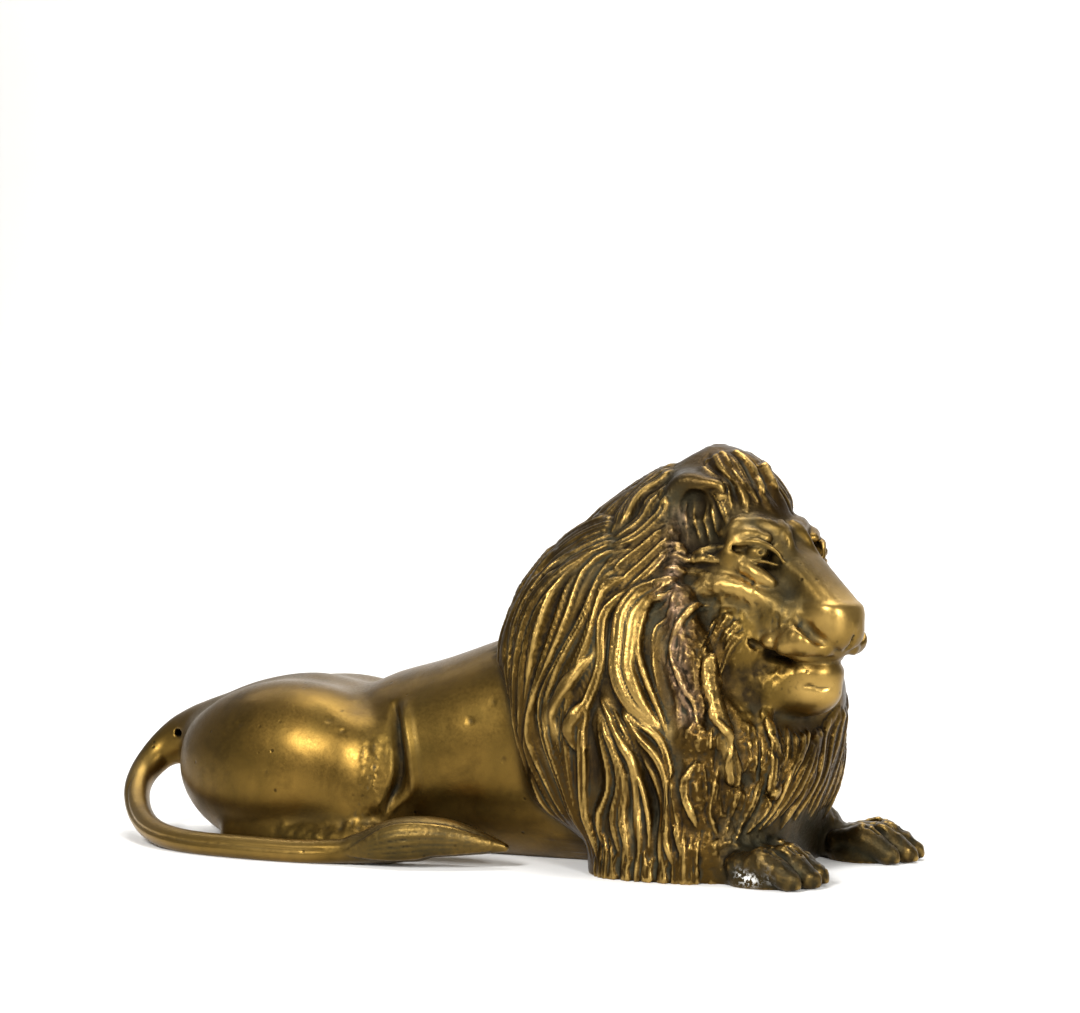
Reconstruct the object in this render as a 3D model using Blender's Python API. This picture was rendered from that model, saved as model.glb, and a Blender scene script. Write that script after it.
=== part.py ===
"""A brass lion, lying with its head up and its tail curled round to its right side.

The lion is one casting, so it is one object. It is built as a modeller builds a clay
lion: rounded masses are pressed together in a block of voxels, the block's surface is
taken as a mesh, and the mane's locks, the creases and the toes are raised or cut on it.

The sculptor's grid has 308 units along the lion's length, +X towards its paws and +Y
towards its left. Its places and radii are in those units, so the pose and the carving
keep their proportions when LENGTH changes.
"""

import math

import bpy
import numpy as np
import openvdb
from mathutils import Euler, Matrix
from mathutils.bvhtree import BVHTree

LENGTH = 0.308              # from the back of the tail's loop to the leading claws
TAIL_THICKNESS = 0.0088     # the bare tail, before its tuft
TAIL_HOLE = 0.0030          # casting hole through the web at the tail's root
LOCK_HEIGHT = 0.0026        # height of a lock above the mane's body
LOCK_WIDTH = 0.0033         # half the width of a mane lock
FORELOCK_WIDTH = 0.0026     # half the width of a lock on the forehead
CRESCENT_WIDTH = 0.0055     # half the width of the crescent lock in front of the mane's side
CREASE_DEPTH = 0.0026       # fold between the haunch and the ribs

UNIT = LENGTH / 308
VOXEL = 1.7                 # grid of the clay, in units
TRIANGLES = 9400            # what the finished faceted solid keeps
LOW = (-172, -72, -4)       # corners of the clay's block, in units
HIGH = (148, 66, 158)

BRASS = (0.24, 0.165, 0.058, 1.0)
FAR = 50.0

# Courses of locks, root first, on the lion's right. Locks are laid along each course and
# between neighbours, and the first three groups are laid on the left side as well.
NAPE_LOCKS = [
    [(62, -3, 146), (50, -5, 140), (34, -7, 129), (22, -10, 120)],
    [(64, -9, 144), (54, -13, 137), (47, -24, 127), (44, -29, 119)],
    [(63, -15, 138), (58, -19, 132), (53, -25, 125), (47, -30, 118)],
    [(65, -20, 132), (62, -24, 125), (55, -30, 118), (44, -32, 114)],
]
SIDE_LOCKS = [
    [(30, -8, 124), (11, -14, 110), (0, -20, 96), (-3, -26, 82), (1, -31, 70)],
    [(33, -28, 116), (14, -30, 105), (8, -33, 90), (7, -37, 76), (8, -39, 62), (12, -41, 50)],
    [(44, -31, 115), (28, -36, 102), (21, -40, 88), (17, -42, 66), (15, -42, 46), (21, -42, 26),
     (27, -40, 10)],
    [(55, -31, 114), (38, -36, 106), (30, -41, 90), (22, -43, 68), (19, -43, 46), (28, -45, 24),
     (33, -44, 6)],
    [(60, -31, 113), (47, -35, 109), (39, -41, 92), (31, -44, 72), (26, -45, 54), (32, -46, 31),
     (39, -47, 6)],
    [(62, -34, 108), (46, -37, 104), (43, -42, 85), (35, -45, 64), (31, -46, 48), (38, -47, 24),
     (45, -48, 4)],
    [(64, -36, 104), (49, -41, 92), (48, -44, 73), (43, -46, 56), (43, -47, 38), (44, -48, 18),
     (50, -49, 2)],
]
FAN_LOCKS = [
    [(48, -45, 64), (50, -47, 48), (52, -48, 32), (50, -49, 18), (54, -50, 2)],
    [(49, -45, 63), (57, -47, 46), (64, -48, 31), (64, -49, 18), (65, -51, 2)],
    [(53, -45, 62), (64, -47, 47), (71, -48, 33), (72, -49, 17), (75, -51, 2)],
    [(58, -47, 66), (62, -48, 56), (72, -48, 48), (77, -48, 33), (79, -50, 17), (84, -51, 3)],
]
CRESCENT_LOCK = [
    (71, -32, 102), (64, -40, 99), (58, -43, 92), (57, -46, 82), (57, -47, 72), (61, -48, 63),
    (66, -48, 57), (72, -48, 52),
]
CHEST_LOCKS = [
    [(105, -31, 56), (108, -34, 45), (108, -35, 32), (102, -40, 16)],
    [(111, -24, 54), (112, -31, 40), (108, -35, 30), (99, -42, 16)],
    [(117, -12, 53), (117, -20, 42), (113, -29, 29), (107, -33, 16)],
    [(122, 4, 58), (121, -3, 46), (118, -11, 30), (114, -16, 16)],
    [(118, 20, 62), (120, 17, 46), (116, 10, 30), (112, 4, 16)],
    [(104, 34, 66), (108, 34, 50), (106, 30, 30), (102, 26, 16)],
]
HAUNCH_FOLD = [(-43, -33, 62), (-38, -37, 50), (-34, -39, 38), (-33, -41, 26), (-36, -43, 14)]
# On the head's own grid
FORELOCKS = [
    [(0, -1, 37), (8, -1, 31), (15, -1, 22), (22, -1, 14)],
    [(-3, -6, 36), (3, -6, 32), (11, -6, 26), (17, -7, 19), (22, -8, 13)],
    [(-7, -9, 34), (-1, -11, 29), (8, -12, 22), (15, -13, 14)],
]


def smooth_curve(points, count):
    """The given number of points on a Catmull-Rom curve through the points."""
    points = np.asarray(points, float)
    ends = 2 * points[[0, -1]] - points[[1, -2]]
    p = np.concatenate([ends[:1], points, ends[1:]])
    s = np.linspace(0, len(points) - 1, count)
    i = np.minimum(s.astype(int), len(points) - 2)
    t = (s - i)[:, None]
    a, b, c, d = p[i], p[i + 1], p[i + 2], p[i + 3]
    return 0.5 * (2 * b + (c - a) * t + (2 * a - 5 * b + 4 * c - d) * t**2
                  + (3 * b - a - 3 * c + d) * t**3)


class Frame:
    """A local grid: a piece of the lion that is modelled straight and then turned."""

    def __init__(self, origin=(0, 0, 0), yaw=0, pitch=0, roll=0):
        turn = Euler([math.radians(a) for a in (roll, -pitch, yaw)]).to_matrix()
        self.origin = np.array(origin, float)
        self.axes = np.array(turn)

    def place(self, points):
        return self.origin + np.asarray(points, float) @ self.axes.T

    def local(self, points):
        return (points - self.origin) @ self.axes


LION = Frame()
HEAD_TURN = -28             # degrees, towards the lion's right
HEAD = Frame(origin=(84, -2, 112), yaw=HEAD_TURN)


def egg(centre, radii, yaw=0, pitch=0, roll=0, frame=LION, power=2.0):
    """(distance function, low corner, high corner) of an ellipsoid, boxier with more power."""
    own = Frame((0, 0, 0), yaw, pitch, roll)
    own.axes = frame.axes @ own.axes
    own.origin = frame.place(centre)
    radii = np.array(radii, float)

    def distance(points):
        q = np.abs(own.local(points)) / radii
        near = (q**power).sum(-1) ** (1 / power) + 1e-6
        slope = np.linalg.norm(q ** (power - 1) / radii, axis=-1) * near ** (1 - power)
        return (near - 1) / (slope + 1e-6)

    reach = np.linalg.norm(own.axes * radii, axis=1) * 3 ** (0.5 - 1 / power)
    return distance, own.origin - reach, own.origin + reach


def stack(stations, along, frame=LION, power=2.0):
    """(distance function, low corner, high corner) of oval sections strung along one axis.

    A station is its place on that axis, the section's centre on the other two axes in
    their order, and its radii there.
    """
    fine = smooth_curve(stations, 12 * len(stations))
    others = [i for i in range(3) if i != along]

    def distance(points):
        q = frame.local(points)
        level = q[..., along]
        centre = [np.interp(level, fine[:, 0], fine[:, 1 + i]) for i in (0, 1)]
        radius = [np.interp(level, fine[:, 0], fine[:, 3 + i]) for i in (0, 1)]
        u, v = [np.abs(q[..., others[i]] - centre[i]) / radius[i] for i in (0, 1)]
        near = (u**power + v**power) ** (1 / power) + 1e-6
        slope = np.hypot(u ** (power - 1) / radius[0], v ** (power - 1) / radius[1])
        slope *= near ** (1 - power)
        ends = np.maximum(fine[0, 0] - level, level - fine[-1, 0])
        return np.maximum((near - 1) / (slope + 1e-6), ends)

    corners = []
    for sign_u in (-1, 1):
        for sign_v in (-1, 1):
            q = np.zeros((len(fine), 3))
            q[:, along] = fine[:, 0]
            q[:, others[0]] = fine[:, 1] + sign_u * fine[:, 3]
            q[:, others[1]] = fine[:, 2] + sign_v * fine[:, 4]
            corners.append(frame.place(q))
    corners = np.concatenate(corners)
    return distance, corners.min(0), corners.max(0)


def limb(points, radii, frame=LION, steps=6):
    """(distance function, low corner, high corner) of a round tapering limb."""
    count = (len(points) - 1) * steps + 1
    path = smooth_curve(frame.place(points), count)
    thick = smooth_curve(np.array(radii, float)[:, None], count)[:, 0]

    def distance(points):
        nearest = np.full(points.shape[:-1], FAR)
        for a, b, ra, rb in zip(path, path[1:], thick, thick[1:]):
            along = np.clip((points - a) @ (b - a) / ((b - a) @ (b - a)), 0, 1)
            gap = points - a - along[..., None] * (b - a)
            np.minimum(nearest, np.linalg.norm(gap, axis=-1) - ra - (rb - ra) * along, out=nearest)
        return nearest

    reach = thick.max()
    return distance, path.min(0) - reach, path.max(0) + reach


class Clay:
    """A block of voxels holding the distance to the modelled surface, below zero inside."""

    def __init__(self, low, high, voxel):
        self.low = np.array(low, float)
        self.voxel = voxel
        counts = np.ceil((np.array(high) - self.low) / voxel).astype(int) + 1
        self.field = np.full(counts, FAR, np.float32)

    def window(self, low, high):
        """The voxels between two corners, and their places."""
        first = np.clip(np.floor((low - self.low) / self.voxel), 0, None).astype(int)
        last = np.minimum(np.ceil((high - self.low) / self.voxel).astype(int) + 1, self.field.shape)
        part = tuple(slice(a, b) for a, b in zip(first, last))
        axes = [self.low[i] + self.voxel * np.arange(first[i], last[i]) for i in range(3)]
        return part, np.stack(np.meshgrid(*axes, indexing="ij"), -1)

    def add(self, shape, blend=0.5):
        """Presses a shape on, with a fillet of about the blend's size."""
        distance, low, high = shape
        margin = blend + 3 * self.voxel
        part, places = self.window(low - margin, high + margin)
        old, new = self.field[part], distance(places)
        meet = np.maximum(blend - np.abs(old - new), 0)
        self.field[part] = np.minimum(old, new) - meet**2 / (4 * blend)

    def cut(self, shape, blend=0.5):
        """Scoops a shape out, with a rounded edge of about the blend's size."""
        distance, low, high = shape
        margin = blend + 3 * self.voxel
        part, places = self.window(low - margin, high + margin)
        old, new = self.field[part], -distance(places)
        meet = np.maximum(blend - np.abs(old - new), 0)
        self.field[part] = np.maximum(old, new) + meet**2 / (4 * blend)

    def level(self, height):
        """Cuts the block off flat at a height, as the lion's underside is."""
        z = self.low[2] + self.voxel * np.arange(self.field.shape[2])
        np.maximum(self.field, (height - z).astype(np.float32), out=self.field)

    def surface(self):
        """(points, quads) of the modelled surface."""
        grid = openvdb.FloatGrid(background=FAR)
        grid.copyFromArray(self.field)
        points, quads = grid.convertToQuads(isovalue=0.0)
        return self.low + self.voxel * points.astype(float), quads


def model_body(clay):
    clay.add(stack([    # x, centre y and z, half width, half height
        (-148, 0, 30, 4, 6), (-141, 0, 27, 13, 20), (-128, 0, 28, 21, 27), (-110, 0, 30, 28, 31),
        (-90, 0, 30, 34, 33.5), (-67, 0, 30, 35, 30.5), (-50, 0, 32, 36, 34), (-30, 0, 34, 38, 37.5),
        (-8, 0, 38, 38, 41), (20, 0, 42, 36, 46), (50, 0, 44, 34, 48),
    ], along=0))
    for side in (-1, 1):
        clay.add(egg((-88, side * 20, 29), (49.5, 28, 33), yaw=side * 3), blend=4)
        clay.add(egg((-54, side * 30, 22), (20, 16, 27), yaw=side * 8), blend=7)
        foot = [(-104, side * 36, 4), (-60, side * 43, 5), (-34, side * 45, 5)]
        clay.add(limb(foot, [6, 7, 6]), blend=5)


def model_legs(clay):
    for side, reach, across in ((-1, 3, 38), (1, 18, 31)):
        elbow, wrist = (60, side * 34, 14), (86 + reach, side * across, 10)
        clay.add(limb([elbow, (74 + reach, side * across, 11), wrist], [12, 10.5, 9]), blend=5)
        clay.add(egg((104 + reach, side * across, 3), (15, 14, 10)), blend=4)
        for splay in (-1, -0.36, 0.36, 1):
            tip = 121 + reach - 6 * abs(splay) ** 1.5
            middle = side * across
            toe = [(tip - 19, middle + 8 * splay, 7), (tip - 8, middle + 10.5 * splay, 8),
                   (tip, middle + 11.5 * splay, 3.5)]
            clay.add(limb(toe, [4, 4.6, 3.6]), blend=1.5)


def model_tail(clay):
    thick = TAIL_THICKNESS / UNIT / 2
    low = 0.86 * thick
    path = [
        (-118, 0, 45), (-136, 0, 42.5), (-146, 0, 39), (-153, -1, 35), (-159, -6, 29),
        (-161, -14, 22), (-157, -24, 15.5), (-146, -37, 9), (-131, -49, low + 1.5),
        (-112, -57, low), (-87, -61, low), (-61, -61, low), (-38, -58, low + 1.5),
        (-18, -54, low + 3),
    ]
    shares = [2, 1.85, 1.95, 1.85, 1.5, 1.25, 1.15, 1.05, 1, 1, 1, 1, 1, 1]
    clay.add(limb(path, [thick * share for share in shares]), blend=3)
    clay.add(egg((-150, -3, 33), (6, 5, 6.5)), blend=4)
    tuft = [(-40, -58, 6.5), (-25, -55, 10), (-10, -51, 10.6), (3, -47.5, 9), (12, -45, 7.5)]
    clay.add(limb(tuft, [4.4, 7.2, 6.9, 4.2, 1.6]), blend=3)
    clay.cut(limb([(-143, -19, 38.5), (-154, 5, 38.5)], [TAIL_HOLE / UNIT / 2] * 2))


def model_mane(clay):
    clay.add(stack([    # z, centre x and y, half length, half width
        (-6, 74, 0, 32, 50), (8, 71.5, 0, 37.5, 49), (24, 61.5, 0, 52.5, 47.5),
        (40, 59.5, 0, 57.5, 47.5), (55, 55.5, 0, 56.5, 46), (72, 48.5, 0, 51, 43.5),
        (90, 44.8, 0, 42.7, 39.7), (103, 46, 0, 36.2, 35.6), (114, 49, 0, 30.4, 30.4),
        (125, 55, 0, 23.8, 23), (135, 63, 0, 17.2, 15), (143, 70.5, 0, 11, 9.2),
        (147, 73.5, 0, 6.5, 5.5), (149, 76, 0, 3, 3),
    ], along=2, power=2.7), blend=2)
    clay.add(egg((102, 8, 60), (18.3, 21.5, 23)), blend=8)
    clay.add(egg((64, 19, 116), (23, 16, 22)), blend=6)
    for side in (-1, 1):
        band = [(74, side * 33, 96), (80, side * 36.5, 75), (83, side * 39, 50),
                (83, side * 41, 22), (80, side * 42, 8)]
        clay.add(limb(band, [5, 6, 6.5, 7, 7]), blend=6)
        clay.add(egg((64, side * 38, 2), (22, 12, 18)), blend=8)
        # lumps down the seam and ridges and hollows of the chest
        seam = [(69, side * 19, 124), (70, side * 23, 115), (70, side * 27, 108), (69, side * 31, 101)]
        clay.add(limb(seam, [2.4, 2.6, 2.8, 4]), blend=2)
        clay.add(egg((84, side * 43, 49), (7, 5.5, 5.5)), blend=2.5)
        knob = [(83, side * 44.5, 37), (83.5, side * 45.5, 30), (84, side * 45.5, 23)]
        clay.add(limb(knob, [4.4, 4.8, 3.6]), blend=2.5)
        outer = [(88, side * 41, 76), (90, side * 42.5, 64), (93, side * 43, 52), (96, side * 43, 36)]
        clay.add(limb(outer, [2, 2.4, 2.8, 2.4]), blend=2)
        inner = [(104, side * 31, 56), (107, side * 34, 45), (107.5, side * 35, 32)]
        clay.add(limb(inner, [2.6, 2.8, 2.4]), blend=2)
        clay.cut(egg((101, side * 43.5, 47), (4.5, 4.5, 6.5), pitch=15, power=3), blend=2)
        clay.cut(egg((103.5, side * 43, 34), (4.5, 5.5, 6), pitch=10, power=3), blend=2)


def model_head(clay):
    f = HEAD
    clay.add(stack([    # height, centre forward and left, half length, half width
        (-56, -8, 0, 16, 14), (-48, -4, 0, 22, 20), (-38, -2, 0, 26, 24), (-25, 0, 0, 28, 26),
        (-12, 0, 0, 27, 26), (-2, 0, 0, 27, 25), (5, -1, 0, 27, 22.5), (11.5, -3, 0, 26, 19.5),
        (19.5, -4, 0, 23, 17.5), (27, -6, 0, 18.5, 14.5), (33, -7, 0, 13.5, 11),
        (37, -8.5, 0, 7.5, 6.5), (38.5, -9.5, 0, 2, 2),
    ], along=2, frame=f), blend=4)
    clay.add(stack([    # bridge of the nose: forward, centre left and height, half width, half height
        (14, 0, -3, 8, 13), (26, 0, -5, 10, 12.5), (36, 0, -11, 9.8, 10.5), (45, 0, -17, 9.2, 9),
        (51, 0, -22, 9.2, 9), (55, 0, -24, 7.8, 7.5), (57.5, 0, -24, 4.5, 4.5), (58.5, 0, -24, 1, 1),
    ], along=0, frame=f, power=3), blend=3)
    clay.add(stack([    # muzzle down to the upper lip
        (14, 0, -18, 18, 15), (24, 0, -20, 18.5, 15), (34, 0, -22.5, 16.5, 13.5), (42, 0, -26, 14, 11),
        (48, 0, -28.5, 10.5, 8), (51, 0, -30, 6, 5.5), (53, 0, -30.5, 2, 2),
    ], along=0, frame=f, power=2.3), blend=4)
    clay.add(stack([    # nose plate, narrowing down to the lip
        (-33.5, 45, 0, 6, 2.5), (-30.5, 46, 0, 7.6, 4.4), (-27, 46, 0, 9.7, 7.6),
        (-23, 46, 0, 11.2, 9.9), (-20, 46, 0, 11.8, 10.4), (-18, 45.5, 0, 11, 10), (-16, 44, 0, 7, 7),
    ], along=2, frame=f, power=2.5), blend=1)
    clay.add(egg((34, 0, -46.5), (15.5, 11.5, 10.2), frame=f), blend=4)
    lip = [(26, -11, -41), (40, -7.5, -41), (45.5, 0, -40.8), (40, 7.5, -41), (26, 11, -41)]
    clay.add(limb(lip, [4, 4, 4, 4, 4], frame=f), blend=3)
    for side in (-1, 1):
        model_cheek(clay, side)
        model_eye(clay, side)
        model_ear(clay, side)
    clay.cut(limb([(57, 0, -27), (54.5, 0, -31), (53, 0, -36)], [0.7, 0.9, 1.1], frame=f), blend=1)


def model_cheek(clay, side):
    f = HEAD
    clay.add(egg((41.5, side * 9, -29.5), (9.5, 8.5, 7), frame=f), blend=2.5)
    for x, y, z, radius in ((46.5, 12, -30, 3.8), (39.5, 14.6, -31.6, 3.6), (33.5, 16, -30.4, 2.8)):
        clay.add(egg((x, side * y, z), [radius] * 3, frame=f), blend=2.4)
    clay.add(egg((16.5, side * 17, 0), (6, 5.6, 7), frame=f), blend=5)
    clay.add(egg((12, side * 17, -32), (17, 10, 16), frame=f), blend=5)
    cheekbone = [(10, side * 23, -12), (17, side * 20.5, -11.5), (26, side * 16.5, -14),
                 (33, side * 13.5, -17.5)]
    clay.add(limb(cheekbone, [4.5, 4.2, 3.6, 2.6], frame=f), blend=3)
    clay.add(limb([(8, side * 16, -42), (28, side * 9, -46)], [11, 9], frame=f), blend=5)
    clay.cut(egg((38, side * 16, -38), (10, 4, 2.6), yaw=side * -20, frame=f), blend=2.5)
    lips = [(22, side * 21.2, -27.5), (25, side * 20.2, -29), (31, side * 17.4, -33),
            (38, side * 15, -35.6), (45.5, side * 10, -35.6), (50.5, side * 4, -36), (52.5, 0, -37)]
    clay.cut(limb(lips, [0.8, 1.1, 1.5, 1.7, 1.7, 1.5, 1.3], frame=f), blend=1.4)
    nostril = [(54, side * 7, -28), (51, side * 10.4, -26), (47, side * 12, -23.6)]
    clay.cut(limb(nostril, [1.3, 2.2, 1.8], frame=f), blend=1.3)


def model_eye(clay, side):
    f = HEAD
    brow = [(9, side * 18.5, 4), (14, side * 15.5, 8.5), (20, side * 9, 10), (26, side * 3, 7)]
    clay.add(limb(brow, [2.6, 3.2, 3.2, 2.6], frame=f), blend=5)
    for x, y, z, radius in ((15.5, 13.6, 10.8, 3.3), (19.3, 9, 12, 2.3), (11.5, 17.2, 7.5, 2.2)):
        clay.add(egg((x, side * y, z), (radius, radius, 0.8 * radius), frame=f), blend=1.8)
    clay.cut(egg((35.5, side * 10.8, -5.5), (4.5, 3.4, 5.5), frame=f), blend=3)
    clay.cut(egg((30, side * 15.2, -0.8), (6.5, 4.6, 2.8), frame=f), blend=2)
    clay.add(egg((25.4, side * 13.9, -0.6), (4, 4, 2.6), frame=f), blend=0.8)
    pouch = [(20.5, side * 18.4, -3.8), (25, side * 17, -5.8), (29.5, side * 14.6, -7.8),
             (33, side * 12.2, -10)]
    clay.add(limb(pouch, [1.7, 2.6, 2.4, 1.3], frame=f), blend=1.6)
    lid = [(17.5, side * 18.6, 1.8), (22, side * 17, 3.2), (27, side * 14.6, 2.6), (31.5, side * 11.2, -0.8)]
    clay.add(limb(lid, [1.5, 2.2, 2, 1.4], frame=f), blend=1.6)


def model_ear(clay, side):
    set_in = (0, 0, 0) if side < 0 else (-5, -4, -1)     # the left ear lies back in the mane
    f = Frame(origin=HEAD.place(set_in), yaw=HEAD_TURN)
    clay.add(egg((-4, side * 16, 12), (9, 6.5, 14), frame=f), blend=4)
    clay.add(egg((-7, side * 17, 22), (11, 6.5, 7.5), frame=f), blend=4)
    clay.cut(egg((3, side * 23.5, 8), (7.5, 4.2, 9), yaw=side * -20, frame=f), blend=3)
    rim = [(7.5, side * 16.5, 23.5), (2, side * 19, 24.6), (-4, side * 21.5, 25),
           (-8, side * 23, 21.5), (-9, side * 24.2, 13), (-7.5, side * 25.4, 5), (-5, side * 26.6, -3)]
    clay.add(limb(rim, [1.8, 2.5, 3, 3.3, 3.3, 3.2, 2.6], frame=f), blend=2.5)
    clay.cut(egg((1.5, side * 22, 16.5), (6, 4.8, 5.6), yaw=side * -20, frame=f), blend=1.2)


class Skin:
    """The clay's surface as a dense mesh, with relief raised or cut along its normals."""

    def __init__(self, points, quads):
        self.points = points
        self.quads = quads
        self.tree = BVHTree.FromPolygons(points.tolist(), quads.tolist())
        corners = points[quads]
        faces = np.cross(corners[:, 2] - corners[:, 0], corners[:, 3] - corners[:, 1])
        self.normals = np.zeros((len(points), 3))
        for corner in range(4):
            np.add.at(self.normals, quads[:, corner], faces)
        self.normals /= np.linalg.norm(self.normals, axis=1)[:, None] + 1e-9
        self.locks = np.zeros(len(points))
        self.relief = np.zeros(len(points))

    def lay(self, course, spacing=2.5):
        """A course laid on the surface: its places, the normals and the way across at each."""
        length = np.linalg.norm(np.diff(course, axis=0), axis=1).sum()
        found = [self.tree.find_nearest(p) for p in smooth_curve(course, int(length / spacing) + 2)]
        places = np.array([hit[0] for hit in found])
        normals = np.array([hit[1] for hit in found])
        across = np.cross(normals, np.gradient(places, axis=0))
        return places, normals, across / (np.linalg.norm(across, axis=1)[:, None] + 1e-9)

    def near(self, course, width):
        """Vertices within the width of a course: their numbers, share along and distance across."""
        places, normals, across = self.lay(course)
        inside = (self.points > places.min(0) - width) & (self.points < places.max(0) + width)
        found = np.flatnonzero(inside.all(1))
        p, facing = self.points[found], self.normals[found]
        best, share, aside = np.full(len(p), FAR), np.zeros(len(p)), np.zeros(len(p))
        for i, (a, b) in enumerate(zip(places, places[1:])):
            along = np.clip((p - a) @ (b - a) / ((b - a) @ (b - a) + 1e-9), 0, 1)
            gap = p - a - along[:, None] * (b - a)
            far = np.linalg.norm(gap, axis=1)
            closer = (far < best) & (facing @ normals[i] > 0)
            best[closer] = far[closer]
            share[closer] = (i + along[closer]) / (len(places) - 1)
            aside[closer] = np.copysign(far, gap @ across[i])[closer]
        keep = best < width
        return found[keep], share[keep], aside[keep]

    def lock(self, course, width, height):
        """Raises a rounded lock that swells from its root and runs out to a point."""
        found, share, aside = self.near(course, width)
        swell = np.clip(np.minimum(share / 0.15, (1 - share) / 0.3), 0, 1) ** 0.6
        body = np.sqrt(np.maximum(1 - (aside / (width * swell + 1e-6)) ** 2, 0))
        self.locks[found] = np.maximum(self.locks[found], height * swell * body)

    def groove(self, course, width, depth):
        """Cuts a soft groove, or raises a ridge where the depth is below zero."""
        found, share, aside = self.near(course, 2 * width)
        fade = np.clip(np.minimum(share, 1 - share) / 0.2, 0, 1)
        self.relief[found] -= depth * fade * np.exp(-((aside / width) ** 2))

    def raised(self):
        """The points with their relief, none below the underside."""
        points = self.points + self.normals * (self.locks + self.relief)[:, None]
        points[:, 2] = np.where(self.points[:, 2] < 0.01, 0, np.maximum(points[:, 2], 0))
        return points


def between(first, second, share):
    """The course part of the way from one course to its neighbour."""
    return (1 - share) * smooth_curve(first, 24) + share * smooth_curve(second, 24)


def comb(skin, courses, width, height):
    """Lays locks along a group of courses, side by side where two courses lie apart."""
    for first, second in zip(courses, courses[1:]):
        gap = np.linalg.norm(smooth_curve(first, 24) - smooth_curve(second, 24), axis=1).mean()
        count = max(round(gap / (2 * width)), 1)
        for number in range(count):
            skin.lock(between(first, second, number / count), width, height)
    skin.lock(courses[-1], width, height)


def mirrored(courses):
    return [[(x, -y, z) for x, y, z in course] for course in courses]


def carve(skin):
    height = LOCK_HEIGHT / UNIT
    width = LOCK_WIDTH / UNIT
    crease = CREASE_DEPTH / UNIT
    for turn in (list, mirrored):
        comb(skin, turn(NAPE_LOCKS), width, 0.7 * height)
        comb(skin, turn(SIDE_LOCKS), width, height)
        comb(skin, turn(FAN_LOCKS), width, height)
        skin.lock(turn([CRESCENT_LOCK])[0], CRESCENT_WIDTH / UNIT, 1.8 * height)
        forelocks = [HEAD.place(course) for course in turn(FORELOCKS)]
        comb(skin, forelocks, FORELOCK_WIDTH / UNIT, 0.6 * height)
        fold = np.array(turn([HAUNCH_FOLD])[0])
        skin.groove(fold, crease, crease)
        skin.groove(fold + (7, 0, 0), crease, -0.4 * crease)
    comb(skin, CHEST_LOCKS, width, height)
    for rise in (1, 6, 11):
        strand = [(-42, -64, 4), (-25, -62, 2 + rise), (-8, -58, 4 + rise), (9, -48, 7 + 0.2 * rise)]
        skin.lock(strand, width, 0.6 * height)


def faceted(points, quads):
    """A mesh of these faces, thinned to the triangles that the solid keeps."""
    dense = bpy.data.meshes.new("dense")
    dense.from_pydata((points * UNIT).tolist(), [], quads.tolist())
    clay = bpy.data.objects.new("clay", dense)
    bpy.context.scene.collection.objects.link(clay)
    clay.modifiers.new("Decimate", "DECIMATE").ratio = TRIANGLES / (2 * len(quads))
    graph = bpy.context.evaluated_depsgraph_get()
    mesh = bpy.data.meshes.new_from_object(clay.evaluated_get(graph))
    bpy.data.objects.remove(clay)
    return mesh


def stand(mesh):
    """Moves the lion so that the middle of its box's underside is the origin."""
    corners = np.array([vertex.co for vertex in mesh.vertices])
    low, high = corners.min(0), corners.max(0)
    middle = (low + high) / 2
    mesh.transform(Matrix.Translation((-middle[0], -middle[1], -low[2])))


def brass():
    material = bpy.data.materials.new("brass")
    material.use_nodes = True
    shader = material.node_tree.nodes["Principled BSDF"]
    shader.inputs["Base Color"].default_value = BRASS
    shader.inputs["Metallic"].default_value = 1.0
    shader.inputs["Roughness"].default_value = 0.35
    return material


def model_lion(voxel=VOXEL):
    """(points, quads) of the whole lion, in units."""
    clay = Clay(LOW, HIGH, voxel)
    model_body(clay)
    model_mane(clay)
    model_legs(clay)
    model_tail(clay)
    model_head(clay)
    clay.level(0)
    skin = Skin(*clay.surface())
    carve(skin)
    return skin.raised(), skin.quads


def main():
    for obj in list(bpy.data.objects):
        bpy.data.objects.remove(obj)
    mesh = faceted(*model_lion())
    stand(mesh)
    mesh.materials.append(brass())
    lion = bpy.data.objects.new("lion", mesh)
    bpy.context.scene.collection.objects.link(lion)


if __name__ == "__main__":
    main()
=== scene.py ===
import math

import bpy
import numpy as np
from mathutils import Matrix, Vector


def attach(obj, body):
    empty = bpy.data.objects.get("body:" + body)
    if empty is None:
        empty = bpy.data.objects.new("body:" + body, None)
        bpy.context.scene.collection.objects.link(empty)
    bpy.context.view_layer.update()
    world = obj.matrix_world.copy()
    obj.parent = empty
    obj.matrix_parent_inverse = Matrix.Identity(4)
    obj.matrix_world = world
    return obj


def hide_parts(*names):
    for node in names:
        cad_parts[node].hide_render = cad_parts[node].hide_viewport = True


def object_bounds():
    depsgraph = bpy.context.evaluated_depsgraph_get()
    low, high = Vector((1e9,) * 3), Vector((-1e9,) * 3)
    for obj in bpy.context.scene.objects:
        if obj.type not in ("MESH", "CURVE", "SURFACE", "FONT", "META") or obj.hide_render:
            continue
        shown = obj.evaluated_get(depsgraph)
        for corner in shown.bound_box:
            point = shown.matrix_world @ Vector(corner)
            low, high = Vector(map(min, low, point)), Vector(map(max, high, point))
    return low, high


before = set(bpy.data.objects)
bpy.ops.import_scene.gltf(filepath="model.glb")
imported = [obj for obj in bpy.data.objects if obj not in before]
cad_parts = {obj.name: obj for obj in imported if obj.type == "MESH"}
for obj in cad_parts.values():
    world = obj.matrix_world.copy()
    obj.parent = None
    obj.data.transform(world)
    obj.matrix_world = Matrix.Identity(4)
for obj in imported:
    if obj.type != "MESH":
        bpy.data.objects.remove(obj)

import openvdb
from mathutils import Euler, Vector
from mathutils.bvhtree import BVHTree
from mathutils.kdtree import KDTree

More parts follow.
